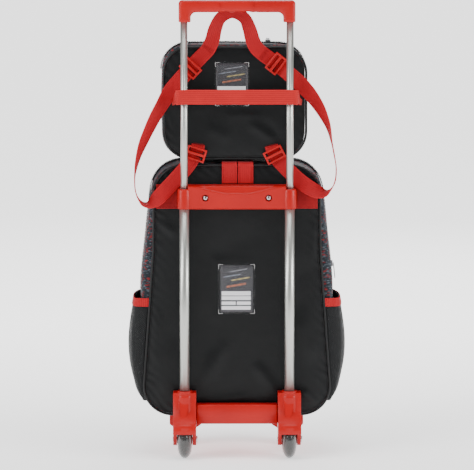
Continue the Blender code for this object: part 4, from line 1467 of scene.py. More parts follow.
@dataclass(frozen=True)
class Grip:
    """The moulded grip, with finger hollows below and the button's pocket on top."""

    leg_width: float = 0.0200
    under_z: float = 0.7400
    outer_radius: float = 0.0065
    inner_radius: float = 0.0090
    fingers: int = 4
    finger_pitch: float = 0.0175
    finger_depth: float = 0.0015
    squareness: float = 4.2
    pocket: tuple[float, float, float] = (0.0285, 0.0068, 0.0124)      # half length, half depth, how deep

    def rails(self) -> tuple[list[Vector], list[Vector]]:
        """The outer and the inner edge of the grip's outline, from the left leg to the right one.

        Returns:
            Both edges, point for point.
        """
        low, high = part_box("grip_body")
        half, leg, top = high.x, high.x - self.leg_width, high.z
        outer, inner = [], []
        for z in (low.z, low.z + 0.0012, low.z + 0.005, low.z + 0.009):
            outer.append(Vector((half, z)))
            inner.append(Vector((leg, z)))
        turns = 8
        for k in range(turns + 1):
            angle = math.pi / 2 * k / turns
            outer.append(Vector((half - self.outer_radius * (1 - math.cos(angle)),
                                 top - self.outer_radius * (1 - math.sin(angle)))))
            inner.append(Vector((leg - self.inner_radius * (1 - math.cos(angle)),
                                 self.under_z - self.inner_radius * (1 - math.sin(angle)))))
        reach = half - self.outer_radius
        start = leg - self.inner_radius
        count = 24
        xs = sorted({self.pocket[0], *(reach * (1 - k / count) for k in range(1, count + 1))}, reverse=True)
        for x in xs:
            outer.append(Vector((x, top)))
            inner.append(Vector((min(x, start * x / reach) if x > self.pocket[0] else x, self.under_z)))
        mirror = [[Vector((-p.x, p.y)) for p in reversed(rail[:-1])] for rail in (outer, inner)]
        return [*outer, *mirror[0]], [*inner, *mirror[1]]

    def hollow(self, x: float) -> float:
        """How far the finger hollows cut up into the underside.

        Args:
            x: distance along the grip from its middle.

        Returns:
            The height of the cut.
        """
        span = self.fingers * self.finger_pitch / 2
        fade = 1 - smoothstep(span - 0.008, span, abs(x))
        return self.finger_depth * fade * (0.5 - 0.5 * math.cos(math.tau * (x / self.finger_pitch + 0.5)))

    def build(self) -> None:
        """Loft the grip between its rails and sink the button's pocket."""
        outer, inner = self.rails()
        low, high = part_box("grip_body")
        depth = (high.y - low.y) / 2
        shares = [1.0, 0.985, 0.94, 0.86, 0.74, self.pocket[1] / depth, 0.4, 0.2, 0.0]
        levels = [*shares, *(-share for share in reversed(shares[:-1]))]
        ring = [(share, 1.0) for share in levels] + [(share, -1.0) for share in reversed(levels[1:-1])]
        count, last = len(ring), len(outer) - 1

        def place(s: float, t: float) -> Vector:
            """A point on the grip's skin.

            Args:
                s: share of the way along the rails.
                t: share of the way round the section.

            Returns:
                The point.
            """
            i = round(s * last)
            share, sign = ring[round(t * count) % count]
            rise = sign * (1 - abs(share) ** self.squareness) ** (1 / self.squareness)
            mid, half = (outer[i] + inner[i]) / 2, (outer[i] - inner[i]) / 2
            ease = 0.90 if i in (0, last) else 1.0
            spot = mid + half * (rise * ease)
            if sign < 0:
                spot.y += self.hollow(spot.x) * abs(rise)
            return Vector((spot.x, TUBE_Y + share * depth * ease, spot.y))

        bm = close_ends(sheet(last, count, place, wrap=True))
        length, width, sink = self.pocket

        def in_pocket(spot: Vector) -> bool:
            """Whether a point of the grip's top lies over the button's pocket."""
            return abs(spot.x) < length + 1e-5 and abs(spot.y - TUBE_Y) < width + 1e-5

        lid = [face for face in bm.faces if face.calc_center_median().z > self.under_z + 0.01
               and all(in_pocket(vert.co) for vert in face.verts)]
        sunk = bmesh.ops.extrude_face_region(bm, geom=lid)
        bmesh.ops.delete(bm, geom=lid, context="FACES")
        floor = [item for item in sunk["geom"] if isinstance(item, bmesh.types.BMVert)]
        bmesh.ops.translate(bm, vec=(0, 0, -sink), verts=floor)
        add_piece(bm, "grip_shell", RED_PLASTIC, Body.HANDLE, Slot.RED_PLASTIC, ["grip_body"], angle=50)

    def build_button(self) -> None:
        """The release button, with three raised ribs for the thumb."""
        low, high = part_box("release_button")
        bm = rounded_block(low, high - Vector((0, 0, 0.0004)), 0.0016)
        centre = (low + high) / 2
        for k in (-1, 0, 1):
            at = Vector((centre.x + k * 0.0065, centre.y, high.z - 0.0005))
            foot, top = at - Vector((0.0011, 0.0045, 0.0008)), at + Vector((0.0011, 0.0045, 0.0004))
            add_bmesh(bm, rounded_block(foot, top, 0.0004, 2))
        add_piece(bm, "thumb_button", RED_PLASTIC, Body.RELEASE, Slot.RED_PLASTIC, ["release_button"])


@dataclass(frozen=True)
class TubeBridge:
    """The moulded bridge with its curved ridge, its collars and its screws."""

    ridge_low: float = 0.4412
    ridge_rise: float = 0.0130
    step: float = 0.0028
    screw_x: float = 0.052
    screw_z: float = 0.4353
    seat: float = 0.0054
    collar: float = 0.0110

    def face(self, x: float, z: float, low: Vector, high: Vector) -> float:
        """World Y of the bridge's front at a place.

        Args:
            x: across.
            z: height.
            low: lowest corner of the bridge.
            high: highest corner.

        Returns:
            The Y.
        """
        ridge = self.ridge_low + self.ridge_rise * smoothstep(0.012, 0.082, abs(x))
        under = 0.0012 * min(max((ridge - z) / (ridge - low.z), 0.0), 1.0)
        above = self.step * smoothstep(0.0, 0.0030, z - ridge) + 0.10 * max(z - ridge, 0.0)
        rim = 0.0022 * (smoothstep(0.0022, 0.0, z - low.z) + smoothstep(0.0022, 0.0, high.z - z))
        return behind(-0.0080) + under + above + rim

    def build(self) -> None:
        """Make the bridge, its collars and its screws."""
        low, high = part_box("tube_bridge")
        end = TUBE_X - 0.006
        columns, rows = 170, 40

        def place(s: float, t: float) -> Vector:
            """A point of the front face, drawn to the rim of a screw's seat where it is near one.

            Args:
                s: share of the way across.
                t: share of the way up.

            Returns:
                The point.
            """
            x, z = end * (2 * s - 1), low.z + (high.z - low.z) * t
            seat = Vector((math.copysign(self.screw_x, x), self.screw_z))
            off = Vector((x, z)) - seat
            depth = 0.0
            if off.length < self.seat + 0.0010 and off.length > 1e-6:
                inside = off.length < self.seat
                if off.length > self.seat - 0.0010:
                    off = off.normalized() * (self.seat - 0.0003 if inside else self.seat + 0.0002)
                depth = 0.0050 if inside else 0.0
                x, z = (seat + off).x, (seat + off).y
            return Vector((x, self.face(x, z, low, high) + depth, z))

        bm = sheet(columns, rows, place)
        grown = bmesh.ops.extrude_edge_only(bm, edges=[edge for edge in bm.edges if edge.is_boundary])
        for item in grown["geom"]:
            if isinstance(item, bmesh.types.BMVert):
                item.co.y = behind(0.0155)
        close_ends(bm)
        for _, sign in SIDES:
            centre = Vector((sign * TUBE_X, TUBE_Y, 0.417))
            profile = [(0.0089, 0.0), (self.collar - 0.0006, 0.0), (self.collar, 0.0006),
                       (self.collar, 0.0290), (self.collar - 0.0004, 0.0302),
                       (self.collar - 0.0004, 0.0318), (self.collar - 0.0014, 0.0330),
                       (0.0066, 0.0330), (0.0066, 0.0200), (0.0089, 0.0200)]
            add_bmesh(bm, revolve(profile, centre, UP, 64))
        add_piece(bm, "bridge_moulding", RED_PLASTIC, Body.TROLLEY, Slot.RED_PLASTIC, ["tube_bridge"],
                  angle=38)
        for side, sign in SIDES:
            centre = Vector((sign * self.screw_x, behind(-0.0052), self.screw_z))
            profile = [(0.0, -0.0014), (0.0018, -0.0013), (0.0034, -0.0006), (0.0042, 0.0004),
                       (0.0042, 0.0016), (0.0020, 0.0016), (0.0020, 0.0190), (0.0, 0.0190)]
            head = revolve(profile, centre, Vector((0, 1, 0)), 32, closed=False)
            add_piece(head, f"bridge_screw_head_{side}", STEEL, Body.TROLLEY, Slot.STEEL,
                      [f"bridge_screw_{side}"])
            # Painted shade: a dark cross laid on the steel head stands for the shade inside the screw's
            # recess.
            cross = bmesh.new()
            for turn in (0.4, 0.4 + math.pi / 2):
                matrix = Matrix.Translation(centre - Vector((0, 0.0012, 0))) @ Matrix.Rotation(turn, 4, "Y")
                size = Matrix.Diagonal((0.0042, 0.0006, 0.0008, 1))
                bmesh.ops.create_cube(cross, size=1.0, matrix=matrix @ size)
            add_piece(cross, f"screw_recess_shade_{side}", DARK_PLASTIC, Body.TROLLEY, Slot.STEEL)


@dataclass(frozen=True)
class MouldedCopy:
    """A CAD node whose shape is right, welded and shaded smooth."""

    node: str
    finish: Finish
    slot: Slot
    body: Body | str = Body.TROLLEY
    round_edges: float = 0.0

    def build(self) -> None:
        """Copy the node's mesh, merge it and give it the finish."""
        bm = bmesh.new()
        bm.from_mesh(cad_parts[self.node].data)
        bmesh.ops.remove_doubles(bm, verts=bm.verts, dist=0.000005)
        bmesh.ops.dissolve_limit(bm, angle_limit=math.radians(1.0), verts=bm.verts, edges=bm.edges)
        obj = add_piece(bm, f"{self.node}_finished", self.finish, self.body, self.slot, [self.node], angle=34,
                        outward=False)
        if self.round_edges:
            add_modifier(obj, "BEVEL", width=self.round_edges, segments=2, limit_method="ANGLE",
                         angle_limit=math.radians(34), harden_normals=False)


@dataclass(frozen=True)
class WheelUnit:
    """One wheel with its housing: smoke tyre, hub, axle and the flared boss over the tube."""

    side: str
    sign: int

    def build(self) -> None:
        """Make every piece of the unit."""
        MouldedCopy(f"wheel_housing_{self.side}", RED_PLASTIC, Slot.RED_PLASTIC).build()
        MouldedCopy(f"axle_{self.side}", STEEL, Slot.STEEL).build()
        self.build_tyre()
        self.build_core()
        self.build_flare()

    def build_tyre(self) -> None:
        """A tyre with a bullet tread."""
        name = f"tyre_{self.side}"
        low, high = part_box(name)
        centre, radius = (low + high) / 2, (high.z - low.z) / 2
        half_width, side_radius, bore = 0.0120, 0.0120, 0.0158
        rise = radius - side_radius
        lip = half_width * math.sqrt(1 - ((bore - side_radius) / rise) ** 2)
        profile, steps = [], 28
        for k in range(steps + 1):
            across = lip * math.cos(math.pi * k / steps)
            reach = side_radius + rise * math.sqrt(max(1 - (across / half_width) ** 2, 0.0))
            profile.append((reach, across))
        bm = revolve(profile, centre, Vector((1, 0, 0)), 96)
        add_piece(bm, f"tyre_tread_{self.side}", URETHANE, f"wheel_{self.side}", Slot.SMOKE_TYRE, [name])

    def build_core(self) -> None:
        """The hub with dished faces, and a steel bearing ring on each side."""
        name = f"wheel_core_{self.side}"
        centre = middle(name)
        profile = [(0.0041, 0.0126), (0.0074, 0.0126), (0.0076, 0.0092), (0.0136, 0.0088), (0.0142, 0.0104),
                   (0.0152, 0.0100)]
        whole = profile + [(radius, -reach) for radius, reach in reversed(profile)]
        bm = revolve(whole, centre, Vector((1, 0, 0)), 64)
        add_piece(bm, f"hub_{self.side}", DARK_PLASTIC, f"wheel_{self.side}", Slot.DARK_PLASTIC, [name])
        rings = bmesh.new()
        for sign in (-1, 1):
            near, far = sign * 0.0120, sign * 0.0127
            ring = [(0.0042, near), (0.0066, near), (0.0066, far), (0.0042, far)]
            add_bmesh(rings, revolve(ring, centre, Vector((1, 0, 0)), 40))
        add_piece(rings, f"bearing_rings_{self.side}", STEEL, f"wheel_{self.side}", Slot.STEEL)

    def build_flare(self) -> None:
        """The boss in front of the tube, which flares into the fender."""
        x = self.sign * TUBE_X
        top, neck, flare, foot = 0.1105, 0.0790, 0.0655, 0.0470

        def place(s: float, t: float) -> Vector:
            """A point of the boss's face.

            Args:
                s: share of the way across.
                t: share of the way up.

            Returns:
                The point.
            """
            z = foot + (top - foot) * t
            wide = 0.0098 + 0.0086 * (1 - smoothstep(flare, neck, z))
            u = 2 * s - 1
            out = 0.0146 + 0.0205 * (1 - smoothstep(0.0560, 0.0800, z)) ** 1.2
            crown = 0.0030 * (1 - abs(u) ** 3.5)
            edge = 0.0035 * smoothstep(0.90, 1.0, t)
            return Vector((x + u * wide, behind(-(out + crown - 0.0030) + edge), z))

        bm = sheet(28, 48, place)
        grown = bmesh.ops.extrude_edge_only(bm, edges=[edge for edge in bm.edges if edge.is_boundary])
        for item in grown["geom"]:
            if isinstance(item, bmesh.types.BMVert):
                item.co.y = min(item.co.y + 0.0060, behind(-0.0090))
        close_ends(bm)
        add_piece(bm, f"tube_flare_{self.side}", RED_PLASTIC, Body.TROLLEY, Slot.RED_PLASTIC, angle=42)


class Trolley:
    """The whole trolley, with its telescopic handle."""

    def build(self) -> None:
        """Make and dress every piece."""
        RailPair("inner_tube", Body.HANDLE, 0.0010, 4, 0.0006).build()
        RailPair("outer_tube", Body.TROLLEY, 0.0008, 2, 0.0005).build()
        grip = Grip()
        grip.build()
        grip.build_button()
        TubeBridge().build()
        for side, sign in SIDES:
            WheelUnit(side, sign).build()
            MouldedCopy(f"front_foot_{side}", RED_PLASTIC, Slot.RED_PLASTIC, round_edges=0.0012).build()
        for node in ("base_beam", "base_shelf"):
            MouldedCopy(node, RED_PLASTIC, Slot.RED_PLASTIC).build()
        self.dress_hidden()

    def dress_hidden(self) -> None:
        """Give the pieces inside the tubes their finishes."""
        for node, finish in (("release_yoke", STEEL), ("lock_pin_left", STEEL), ("lock_pin_right", STEEL),
                             ("tube_guide_left", DARK_PLASTIC), ("tube_guide_right", DARK_PLASTIC)):
            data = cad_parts[node].data
            data.materials.clear()
            data.materials.append(material_of(finish))


# -------------------- name windows
@dataclass(frozen=True)
class NameWindow:
    """A name card in its clear pouch, caught down with white stitches at the corners."""

    owner: str
    body: Body
    card: NameCard

    def build(self) -> None:
        """Make the card, the film, its welded rim and the corner stitches."""
        low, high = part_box(f"{self.owner}_id_card")

        def card_place(s: float, t: float) -> Vector:
            """A point of the card, bowed a little."""
            bow = 0.0003 * (1 - (2 * s - 1) ** 2)
            return Vector((low.x + (high.x - low.x) * s, low.y + 0.0002 - bow, low.z + (high.z - low.z) * t))

        card = add_piece(sheet(12, 16, card_place), f"{self.owner}_name_card", self.card, self.body,
                         Slot.CARD, [f"{self.owner}_id_card"], outward=False)
        thicken(card, 0.0003)
        low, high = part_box(f"{self.owner}_id_window")

        def film_place(s: float, t: float) -> Vector:
            """A point of the film, which bulges over the card.

            Args:
                s: share of the way across.
                t: share of the way up.

            Returns:
                The point.
            """
            rim = min(s, 1 - s, (t if t < 0.5 else 1 - t) * 1.3)
            wave = noise.noise(Vector((s * 5, t * 6, 2.0))) * 0.0002
            y = low.y + 0.0004 - 0.0005 * smoothstep(0.0, 0.06, rim) + wave
            return Vector((low.x + (high.x - low.x) * s, y, low.z + (high.z - low.z) * t))

        film = add_piece(sheet(30, 40, film_place), f"{self.owner}_window_film", FILM, self.body,
                         Slot.CLEAR_FILM, [f"{self.owner}_id_window"], angle=180, outward=False)
        thicken(film, 0.0003)
        sewing = bmesh.new()
        reach = 0.007
        for x, x_in in ((low.x + 0.0015, 1), (high.x - 0.0015, -1)):
            for z, z_in in ((low.z + 0.0015, 1), (high.z - 0.0015, -1)):
                corner = Vector((x, low.y - 0.0004, z))
                stitch(sewing, [corner, corner + Vector((x_in * reach, 0, 0))], OUT, 0.0024, 0.0021, 0.0004)
                stitch(sewing, [corner, corner + Vector((0, 0, z_in * reach))], OUT, 0.0024, 0.0021, 0.0004)
        add_piece(sewing, f"{self.owner}_window_stitches", WHITE_THREAD, self.body, Slot.CARD)


# -------------------- backpack
class Backpack:
    """The backpack: body, back panel, piping, band, haul loop, pockets and zips."""

    panel = Contour(((0.1585, 0.0700, 0.048), (0.1385, 0.345, 0.2), (0.1365, 0.4870, 0.050)))
    shell = Contour(((0.1615, 0.0675, 0.050), (0.1615, 0.290, 0.150), (0.1400, 0.4905, 0.055)))
    pocket = Contour(((0.125, 0.088, 0.045), (0.128, 0.318, 0.045)))
    zip_y = 0.118
    pocket_low, pocket_high = 0.094, 0.264
    pocket_fullness = 2.4
    pocket_wrap, pocket_corner = 0.17, 0.0075
    pocket_tuck, pocket_gap, pocket_proud = 0.0012, 0.0012, 0.0020
    pocket_far, pocket_length = 0.136, 0.116
    pocket_bulge, pocket_mouth = 0.0165, 0.0085

    def build(self) -> None:
        """Make and dress every piece."""
        self.panel_half, self.shell_half = self.panel.half_widths(), self.shell.half_widths()
        self.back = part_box("backpack_body")[0].y
        body = self.build_body()
        pocket = self.build_front_pocket()
        self.build_panel()
        self.build_band()
        self.build_haul_loop()
        self.build_side_pockets()
        NameWindow("backpack", Body.TROLLEY, PACK_CARD).build()
        self.build_seams(Surface(body), Surface(pocket))

    def build_body(self) -> bpy.types.Object:
        """The stuffed body, which swells between its back seam, its zip and its front seam.

        Returns:
            The body.
        """
        low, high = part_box("backpack_body")
        seams = (low.y + 0.004, behind(self.zip_y), high.y - 0.007)
        rings = ((low.y, 0.010), (low.y + 0.0010, 0.0045), (low.y + 0.005, 0.0012), (low.y + 0.030, 0.0034),
                 (low.y + 0.065, 0.0038), (seams[1] - 0.012, 0.0012), (seams[1] + 0.010, 0.0010),
                 (high.y - 0.010, 0.0016), (high.y - 0.004, 0.0045), (high.y - 0.0008, 0.011),
                 (high.y, 0.020))
        shell = SoftShell("backpack_shell", self.shell, rings, seams)
        return shell.build(Body.TROLLEY, ["backpack_body"])

    def build_front_pocket(self) -> bpy.types.Object:
        """The stuffed front pocket.

        Returns:
            The pocket.
        """
        low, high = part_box("front_pocket")
        rings = ((low.y - 0.0006, 0.0030), (low.y + 0.004, 0.0008), (low.y + 0.020, 0.0026),
                 (high.y - 0.012, 0.0018), (high.y - 0.006, 0.0040), (high.y - 0.003, 0.0090),
                 (high.y - 0.0015, 0.022))
        shell = SoftShell("pocket_shell", self.pocket, rings, (low.y + 0.002, high.y - 0.009), swell=0.0040,
                          voxel=0.005)
        return shell.build(Body.TROLLEY, ["front_pocket"])

    def build_panel(self) -> None:
        """The satin back panel with its piping and the stitches beside it."""
        low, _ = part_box("backpack_back_panel")
        folds = (
            Fold((-0.020, 0.190), (-0.056, 0.118), 0.0016, 0.012),
            Fold((0.032, 0.155), (0.064, 0.105), 0.0017, 0.010),
            Fold((0.095, 0.235), (0.130, 0.165), 0.0014, 0.014),
            Fold((0.104, 0.112), (0.140, 0.083), 0.0018, 0.008),
            Fold((0.131, 0.395), (0.127, 0.320), 0.0013, 0.008),
            Fold((-0.128, 0.392), (-0.100, 0.372), 0.0010, 0.008),
            Fold((-0.134, 0.250), (-0.140, 0.140), 0.0016, 0.010),
            Fold((-0.104, 0.190), (-0.128, 0.100), 0.0012, 0.013),
            Fold((0.022, 0.100), (-0.050, 0.090), 0.0010, 0.009),
            Fold((-0.060, 0.330), (0.040, 0.372), -0.0006, 0.020),
            Fold((-0.055, 0.250), (-0.040, 0.160), -0.0008, 0.016),
            Fold((0.108, 0.330), (0.112, 0.240), -0.0009, 0.016),
        )
        quiet = (-0.034, 0.034, 0.236, 0.327)
        satin = SewnPanel("back_panel_satin", self.panel.inset(0.0026), low.y + 0.0002, low.y + 0.0034,
                          0.0020, folds, quiet)
        satin.build(Body.TROLLEY, ["backpack_back_panel"])
        y = middle("backpack_piping").y
        bm = cord_mesh(self.panel.ring(y), 0.0021, closed=True)
        add_piece(bm, "back_piping", TRIM, Body.TROLLEY, Slot.BLACK_FABRIC, ["backpack_piping"])
        sewing = bmesh.new()
        ring = self.panel.inset(0.0050).ring(low.y + 0.0024, 0.003)
        stitch(sewing, [*ring, ring[0]], OUT, 0.0036, 0.0027, 0.0003)
        add_piece(sewing, "back_piping_stitches", BLACK_THREAD, Body.TROLLEY, Slot.BLACK_FABRIC)

    def build_band(self) -> None:
        """The wide dark red band under the bridge, sewn along both its edges."""
        low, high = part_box("backpack_band")
        y, z = (low.y + high.y) / 2, (low.z + high.z) / 2
        stations = tuple(((low.x + (high.x - low.x) * k / 12, y, z), (0, 0, 1)) for k in range(13))
        Webbing("pack_band", stations, width=high.z - low.z, finish=BAND_FABRIC, crown=0.0001).build(
            Body.TROLLEY, ["backpack_band"])
        sewing = bmesh.new()
        for level in (low.z + 0.0022, high.z - 0.0022):
            ends = [Vector((x, low.y - 0.0001, level)) for x in (low.x + 0.001, high.x - 0.001)]
            stitch(sewing, ends, OUT)
        add_piece(sewing, "pack_band_stitches", RED_THREAD, Body.TROLLEY, Slot.RED_WEBBING)

    def build_haul_loop(self) -> None:
        """The haul loop, sewn up the panel and folded over the top under the small bag."""
        low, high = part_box("backpack_haul_loop")
        y, up = low.y + 0.00075, (1, 0, 0)
        top = high.z - 0.0009
        legs, arch_y = (-0.0122, 0.0145), behind(0.066)
        first = [((legs[0], y, 0.4575), up), ((legs[0], y, 0.4700), up), ((legs[0], y, 0.4840), up),
                 ((legs[0], behind(0.0185), top - 0.0012), up), ((legs[0], behind(0.030), top), up),
                 ((legs[0], behind(0.046), top), up)]
        centre, radius, turns = Vector((sum(legs) / 2, arch_y, top)), (legs[1] - legs[0]) / 2, 8
        bend = []
        for k in range(turns + 1):
            angle = math.pi * (1 - k / turns)
            out = Vector((math.cos(angle), math.sin(angle), 0))
            bend.append((tuple(centre + out * radius), tuple(-out)))
        second = [((legs[1], point[1], point[2]), (-1, 0, 0)) for point, _ in reversed(first)]
        loop = Webbing("pack_haul_loop", (*first, *bend, *second), steps=4)
        loop.build(Body.TROLLEY, ["backpack_haul_loop"])
        sewing = bmesh.new()
        for leg in legs:
            for side in (-0.0105, 0.0105):
                ends = [Vector((leg + side, y - 0.0011, z)) for z in (0.4580, 0.4860)]
                stitch(sewing, ends, OUT)
        add_piece(sewing, "pack_haul_loop_stitches", RED_THREAD, Body.TROLLEY, Slot.RED_WEBBING)

    def stand_off(self, along: float, up: float) -> float:
        """How far a side pocket stands off the gusset, for shares of its length and height.

        Args:
            along: share of the way from the back seam to the far edge.
            up: share of the height.

        Returns:
            The distance in metres.
        """
        mouth = self.pocket_mouth * up
        belly = max(math.sin(math.pi * up), 0.0) * (self.pocket_bulge - mouth / 2)
        return (1 - abs(2 * along - 1) ** self.pocket_fullness) * (belly + mouth)

    def pocket_skin(self, along: float, up: float) -> Vector:
        """A point of the right pocket's mesh.

        Args:
            along: share of the way from the back seam round the corner to the far edge.
            up: share of its height.

        Returns:
            The point.
        """
        z = self.pocket_low + up * (self.pocket_high - self.pocket_low)
        seam = self.panel_half(z) + self.pocket_tuck
        corner = self.shell_half(z) + self.pocket_gap
        turn = min(along / self.pocket_wrap, 1.0) * math.pi / 2
        x = seam + (corner - seam) * math.sin(turn)
        y = self.back - self.pocket_proud + self.pocket_corner * (1 - math.cos(turn))
        rest = max(along - self.pocket_wrap, 0.0) / (1 - self.pocket_wrap)
        y += (behind(self.pocket_far) - y) * rest
        return Vector((x + self.stand_off(along, up), y, z))

    def build_side_pockets(self) -> None:
        """The mesh pockets, sewn in at the back seam, with their bindings and elastics."""
        height = self.pocket_high - self.pocket_low
        for side, sign in SIDES:
            mirror = Vector((sign, 1, 1))

            def mesh_place(s: float, t: float) -> Vector:
                """A point of the mesh, with soft pleats.

                Args:
                    s: share of the way from the back seam to the far edge.
                    t: share of its height.

                Returns:
                    The point.
                """
                pleat = math.sin(s * math.tau * 5 + 2 * noise.noise(Vector((s * 3, t * 2, sign)))) * 0.0008
                rim = min(1.0, 6 * min(s, 1 - s)) * (0.35 + 0.65 * abs(2 * t - 1))
                return (self.pocket_skin(s, t) + Vector((pleat * rim, 0, 0))) * mirror

            bm = sheet(60, 60, mesh_place, lambda s, t: (s * self.pocket_length, t * height * 1.06))
            obj = add_piece(bm, f"pocket_mesh_{side}", MESH, Body.TROLLEY, Slot.MESH_FABRIC,
                            [f"mesh_pocket_{side}"], angle=180, outward=False)
            thicken(obj, 0.0008)
            stations = []
            band_high, count = 0.0140, 30
            share = 1 - 0.4 * band_high / height
            for k in range(count + 1):
                along = k / count
                spot, lip = self.pocket_skin(along, share), self.pocket_skin(along, 1.0)
                run = self.pocket_skin(along + 0.01, share) - self.pocket_skin(along - 0.01, share)
                out = Vector((run.y, -run.x, 0)).normalized()
                gather = 0.0004 * math.sin(k * 2.6)
                spot_out = (spot + out * (0.0017 + gather)) * mirror
                stations.append((tuple(spot_out), tuple((lip - spot) * mirror)))
            elastic = Webbing(f"pocket_elastic_band_{side}", tuple(stations), band_high, 0.0013, ELASTIC,
                              crown=0.0002, lanes=5, steps=3)
            elastic.build(Body.TROLLEY, [f"pocket_elastic_{side}"], Slot.RED_ELASTIC)
            rim = [mesh_place(0.0, t / 20) for t in range(20, 0, -1)]
            rim += [mesh_place(s / 30, 0.0) for s in range(31)]
            rim += [mesh_place(1.0, t / 20) for t in range(1, 21)]
            bound = cord_mesh(even_path(rim, 0.003), 0.0012, sides=8)
            add_piece(bound, f"pocket_binding_{side}", TRIM, Body.TROLLEY, Slot.BLACK_FABRIC)

    def build_seams(self, body: Surface, pocket: Surface) -> None:
        """Piping on the front seams, the main zip and the pocket's zip.

        Args:
            body: the stuffed body.
            pocket: the stuffed front pocket.
        """
        _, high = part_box("backpack_body")
        front = [body.lay(point, 0.0006)[0] for point in self.shell.inset(0.0022).ring(high.y - 0.0065)]
        add_piece(cord_mesh(front, 0.0020, closed=True), "front_piping", TRIM, Body.TROLLEY,
                  Slot.BLACK_FABRIC)
        outline = [Vector((p.x, behind(self.zip_y), p.y)) for p in self.shell.points()]
        side = [point for point in outline if point.z > 0.150]
        half = self.shell.corners[0][0]
        path = [Vector((half, behind(self.zip_y), 0.120)), *side, Vector((-half, behind(self.zip_y), 0.120))]
        ZipLine("main_zip", tuple(path), Vector((0, 1, 0)), Body.TROLLEY).build(body)
        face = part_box("front_pocket")[1].y
        slider = middle("pocket_zip_slider")
        line = [Vector((x, face, slider.z)) for x in (-0.086, -0.04, 0.0, 0.04, 0.086)]
        ZipLine("pocket_zip", tuple(line), UP, Body.TROLLEY).build(pocket)
        edge = [pocket.lay(point, 0.0005)[0] for point in self.pocket.inset(0.0050).ring(face - 0.0070)]
        add_piece(cord_mesh(edge, 0.0018, closed=True), "pocket_piping", TRIM, Body.TROLLEY,
                  Slot.BLACK_FABRIC)


# -------------------- small bag
LEFT_STRAP = (
    ((-0.0790, 0.0222, 0.6445), (0.73, 0, -0.69)),
    ((-0.0865, 0.0216, 0.6365), (0.73, 0, -0.69)),
    ((-0.0965, 0.0170, 0.6255), (0.72, 0, -0.70)),
    ((-0.1090, 0.0150, 0.6105), (0.75, 0.1, -0.65)),
    ((-0.1223, 0.0120, 0.5890), (0.70, 0.5, -0.45)),
    ((-0.1375, 0.0095, 0.5620), (0.65, 0.7, -0.35)),
    ((-0.1545, 0.0070, 0.5250), (0.50, 0.85, -0.2)),
    ((-0.1640, 0.0060, 0.4960), (0.25, 1, 0)),
    ((-0.1685, 0.0055, 0.4680), (0, 1, 0)),
    ((-0.1670, 0.0050, 0.4440), (-0.05, 1, 0)),
    ((-0.1590, 0.0040, 0.4285), (-0.05, 1, 0.1)),
    ((-0.1480, 0.0025, 0.4235), (0, 0.95, 0.3)),
    ((-0.1360, 0.0035, 0.4285), (-0.1, 0.65, 0.75)),
    ((-0.1240, 0.0085, 0.4405), (-0.24, 0.2, 0.95)),
    ((-0.1120, 0.0120, 0.4530), (-0.50, 0, 0.85)),
    ((-0.0990, 0.0134, 0.4670), (-0.65, 0, 0.75)),
    ((-0.0860, 0.0148, 0.4815), (-0.75, 0, 0.65)),
    ((-0.0775, 0.0174, 0.4925), (-0.85, 0, 0.50)),
    ((-0.0705, 0.0174, 0.5045), (-0.94, 0, 0.34)),
)
RIGHT_STRAP = (
    ((0.0670, 0.0222, 0.6530), (-0.62, 0, -0.79)),
    ((0.0760, 0.0216, 0.6465), (-0.62, 0, -0.79)),
    ((0.0880, 0.0170, 0.6365), (-0.60, 0, -0.80)),
    ((0.1060, 0.0150, 0.6205), (-0.66, 0.1, -0.73)),
    ((0.1235, 0.0120, 0.6010), (-0.60, 0.5, -0.6)),
    ((0.1375, 0.0095, 0.5800), (-0.55, 0.75, -0.35)),
    ((0.1495, 0.0070, 0.5540), (-0.3, 0.95, -0.1)),
    ((0.1555, 0.0060, 0.5290), (-0.05, 1, 0)),
    ((0.1600, 0.0055, 0.5060), (0, 1, 0)),
    ((0.1635, 0.0050, 0.4820), (0.05, 1, 0)),
    ((0.1610, 0.0040, 0.4600), (0.1, 1, 0)),
    ((0.1515, 0.0025, 0.4460), (0.15, 0.95, 0.2)),
    ((0.1385, 0.0030, 0.4430), (0.1, 0.75, 0.65)),
    ((0.1210, 0.0085, 0.4500), (0.3, 0.3, 0.9)),
    ((0.1025, 0.0128, 0.4630), (0.45, 0, 0.89)),
    ((0.0860, 0.0148, 0.4780), (0.6, 0, 0.8)),
    ((0.0775, 0.0160, 0.4870), (0.72, 0, 0.69)),
    ((0.0695, 0.0174, 0.4955), (0.80, 0, 0.60)),
    ((0.0650, 0.0174, 0.5035), (0.87, 0, 0.48)),
)
LEFT_TAB = (
    ((-0.0636, 0.0244, 0.5215), (-1, 0, 0.3)),
    ((-0.0642, 0.0232, 0.5175), (-1, 0, 0.3)),
    ((-0.0655, 0.0190, 0.5125), (-1, 0, 0.3)),
    ((-0.0664, 0.0178, 0.5090), (-1, 0, 0.3)),
)
RIGHT_TAB = (
    ((0.0570, 0.0244, 0.5195), (1, 0, 0.45)),
    ((0.0580, 0.0232, 0.5155), (1, 0, 0.45)),
    ((0.0598, 0.0190, 0.5105), (1, 0, 0.45)),
    ((0.0612, 0.0178, 0.5075), (1, 0, 0.45)),
)
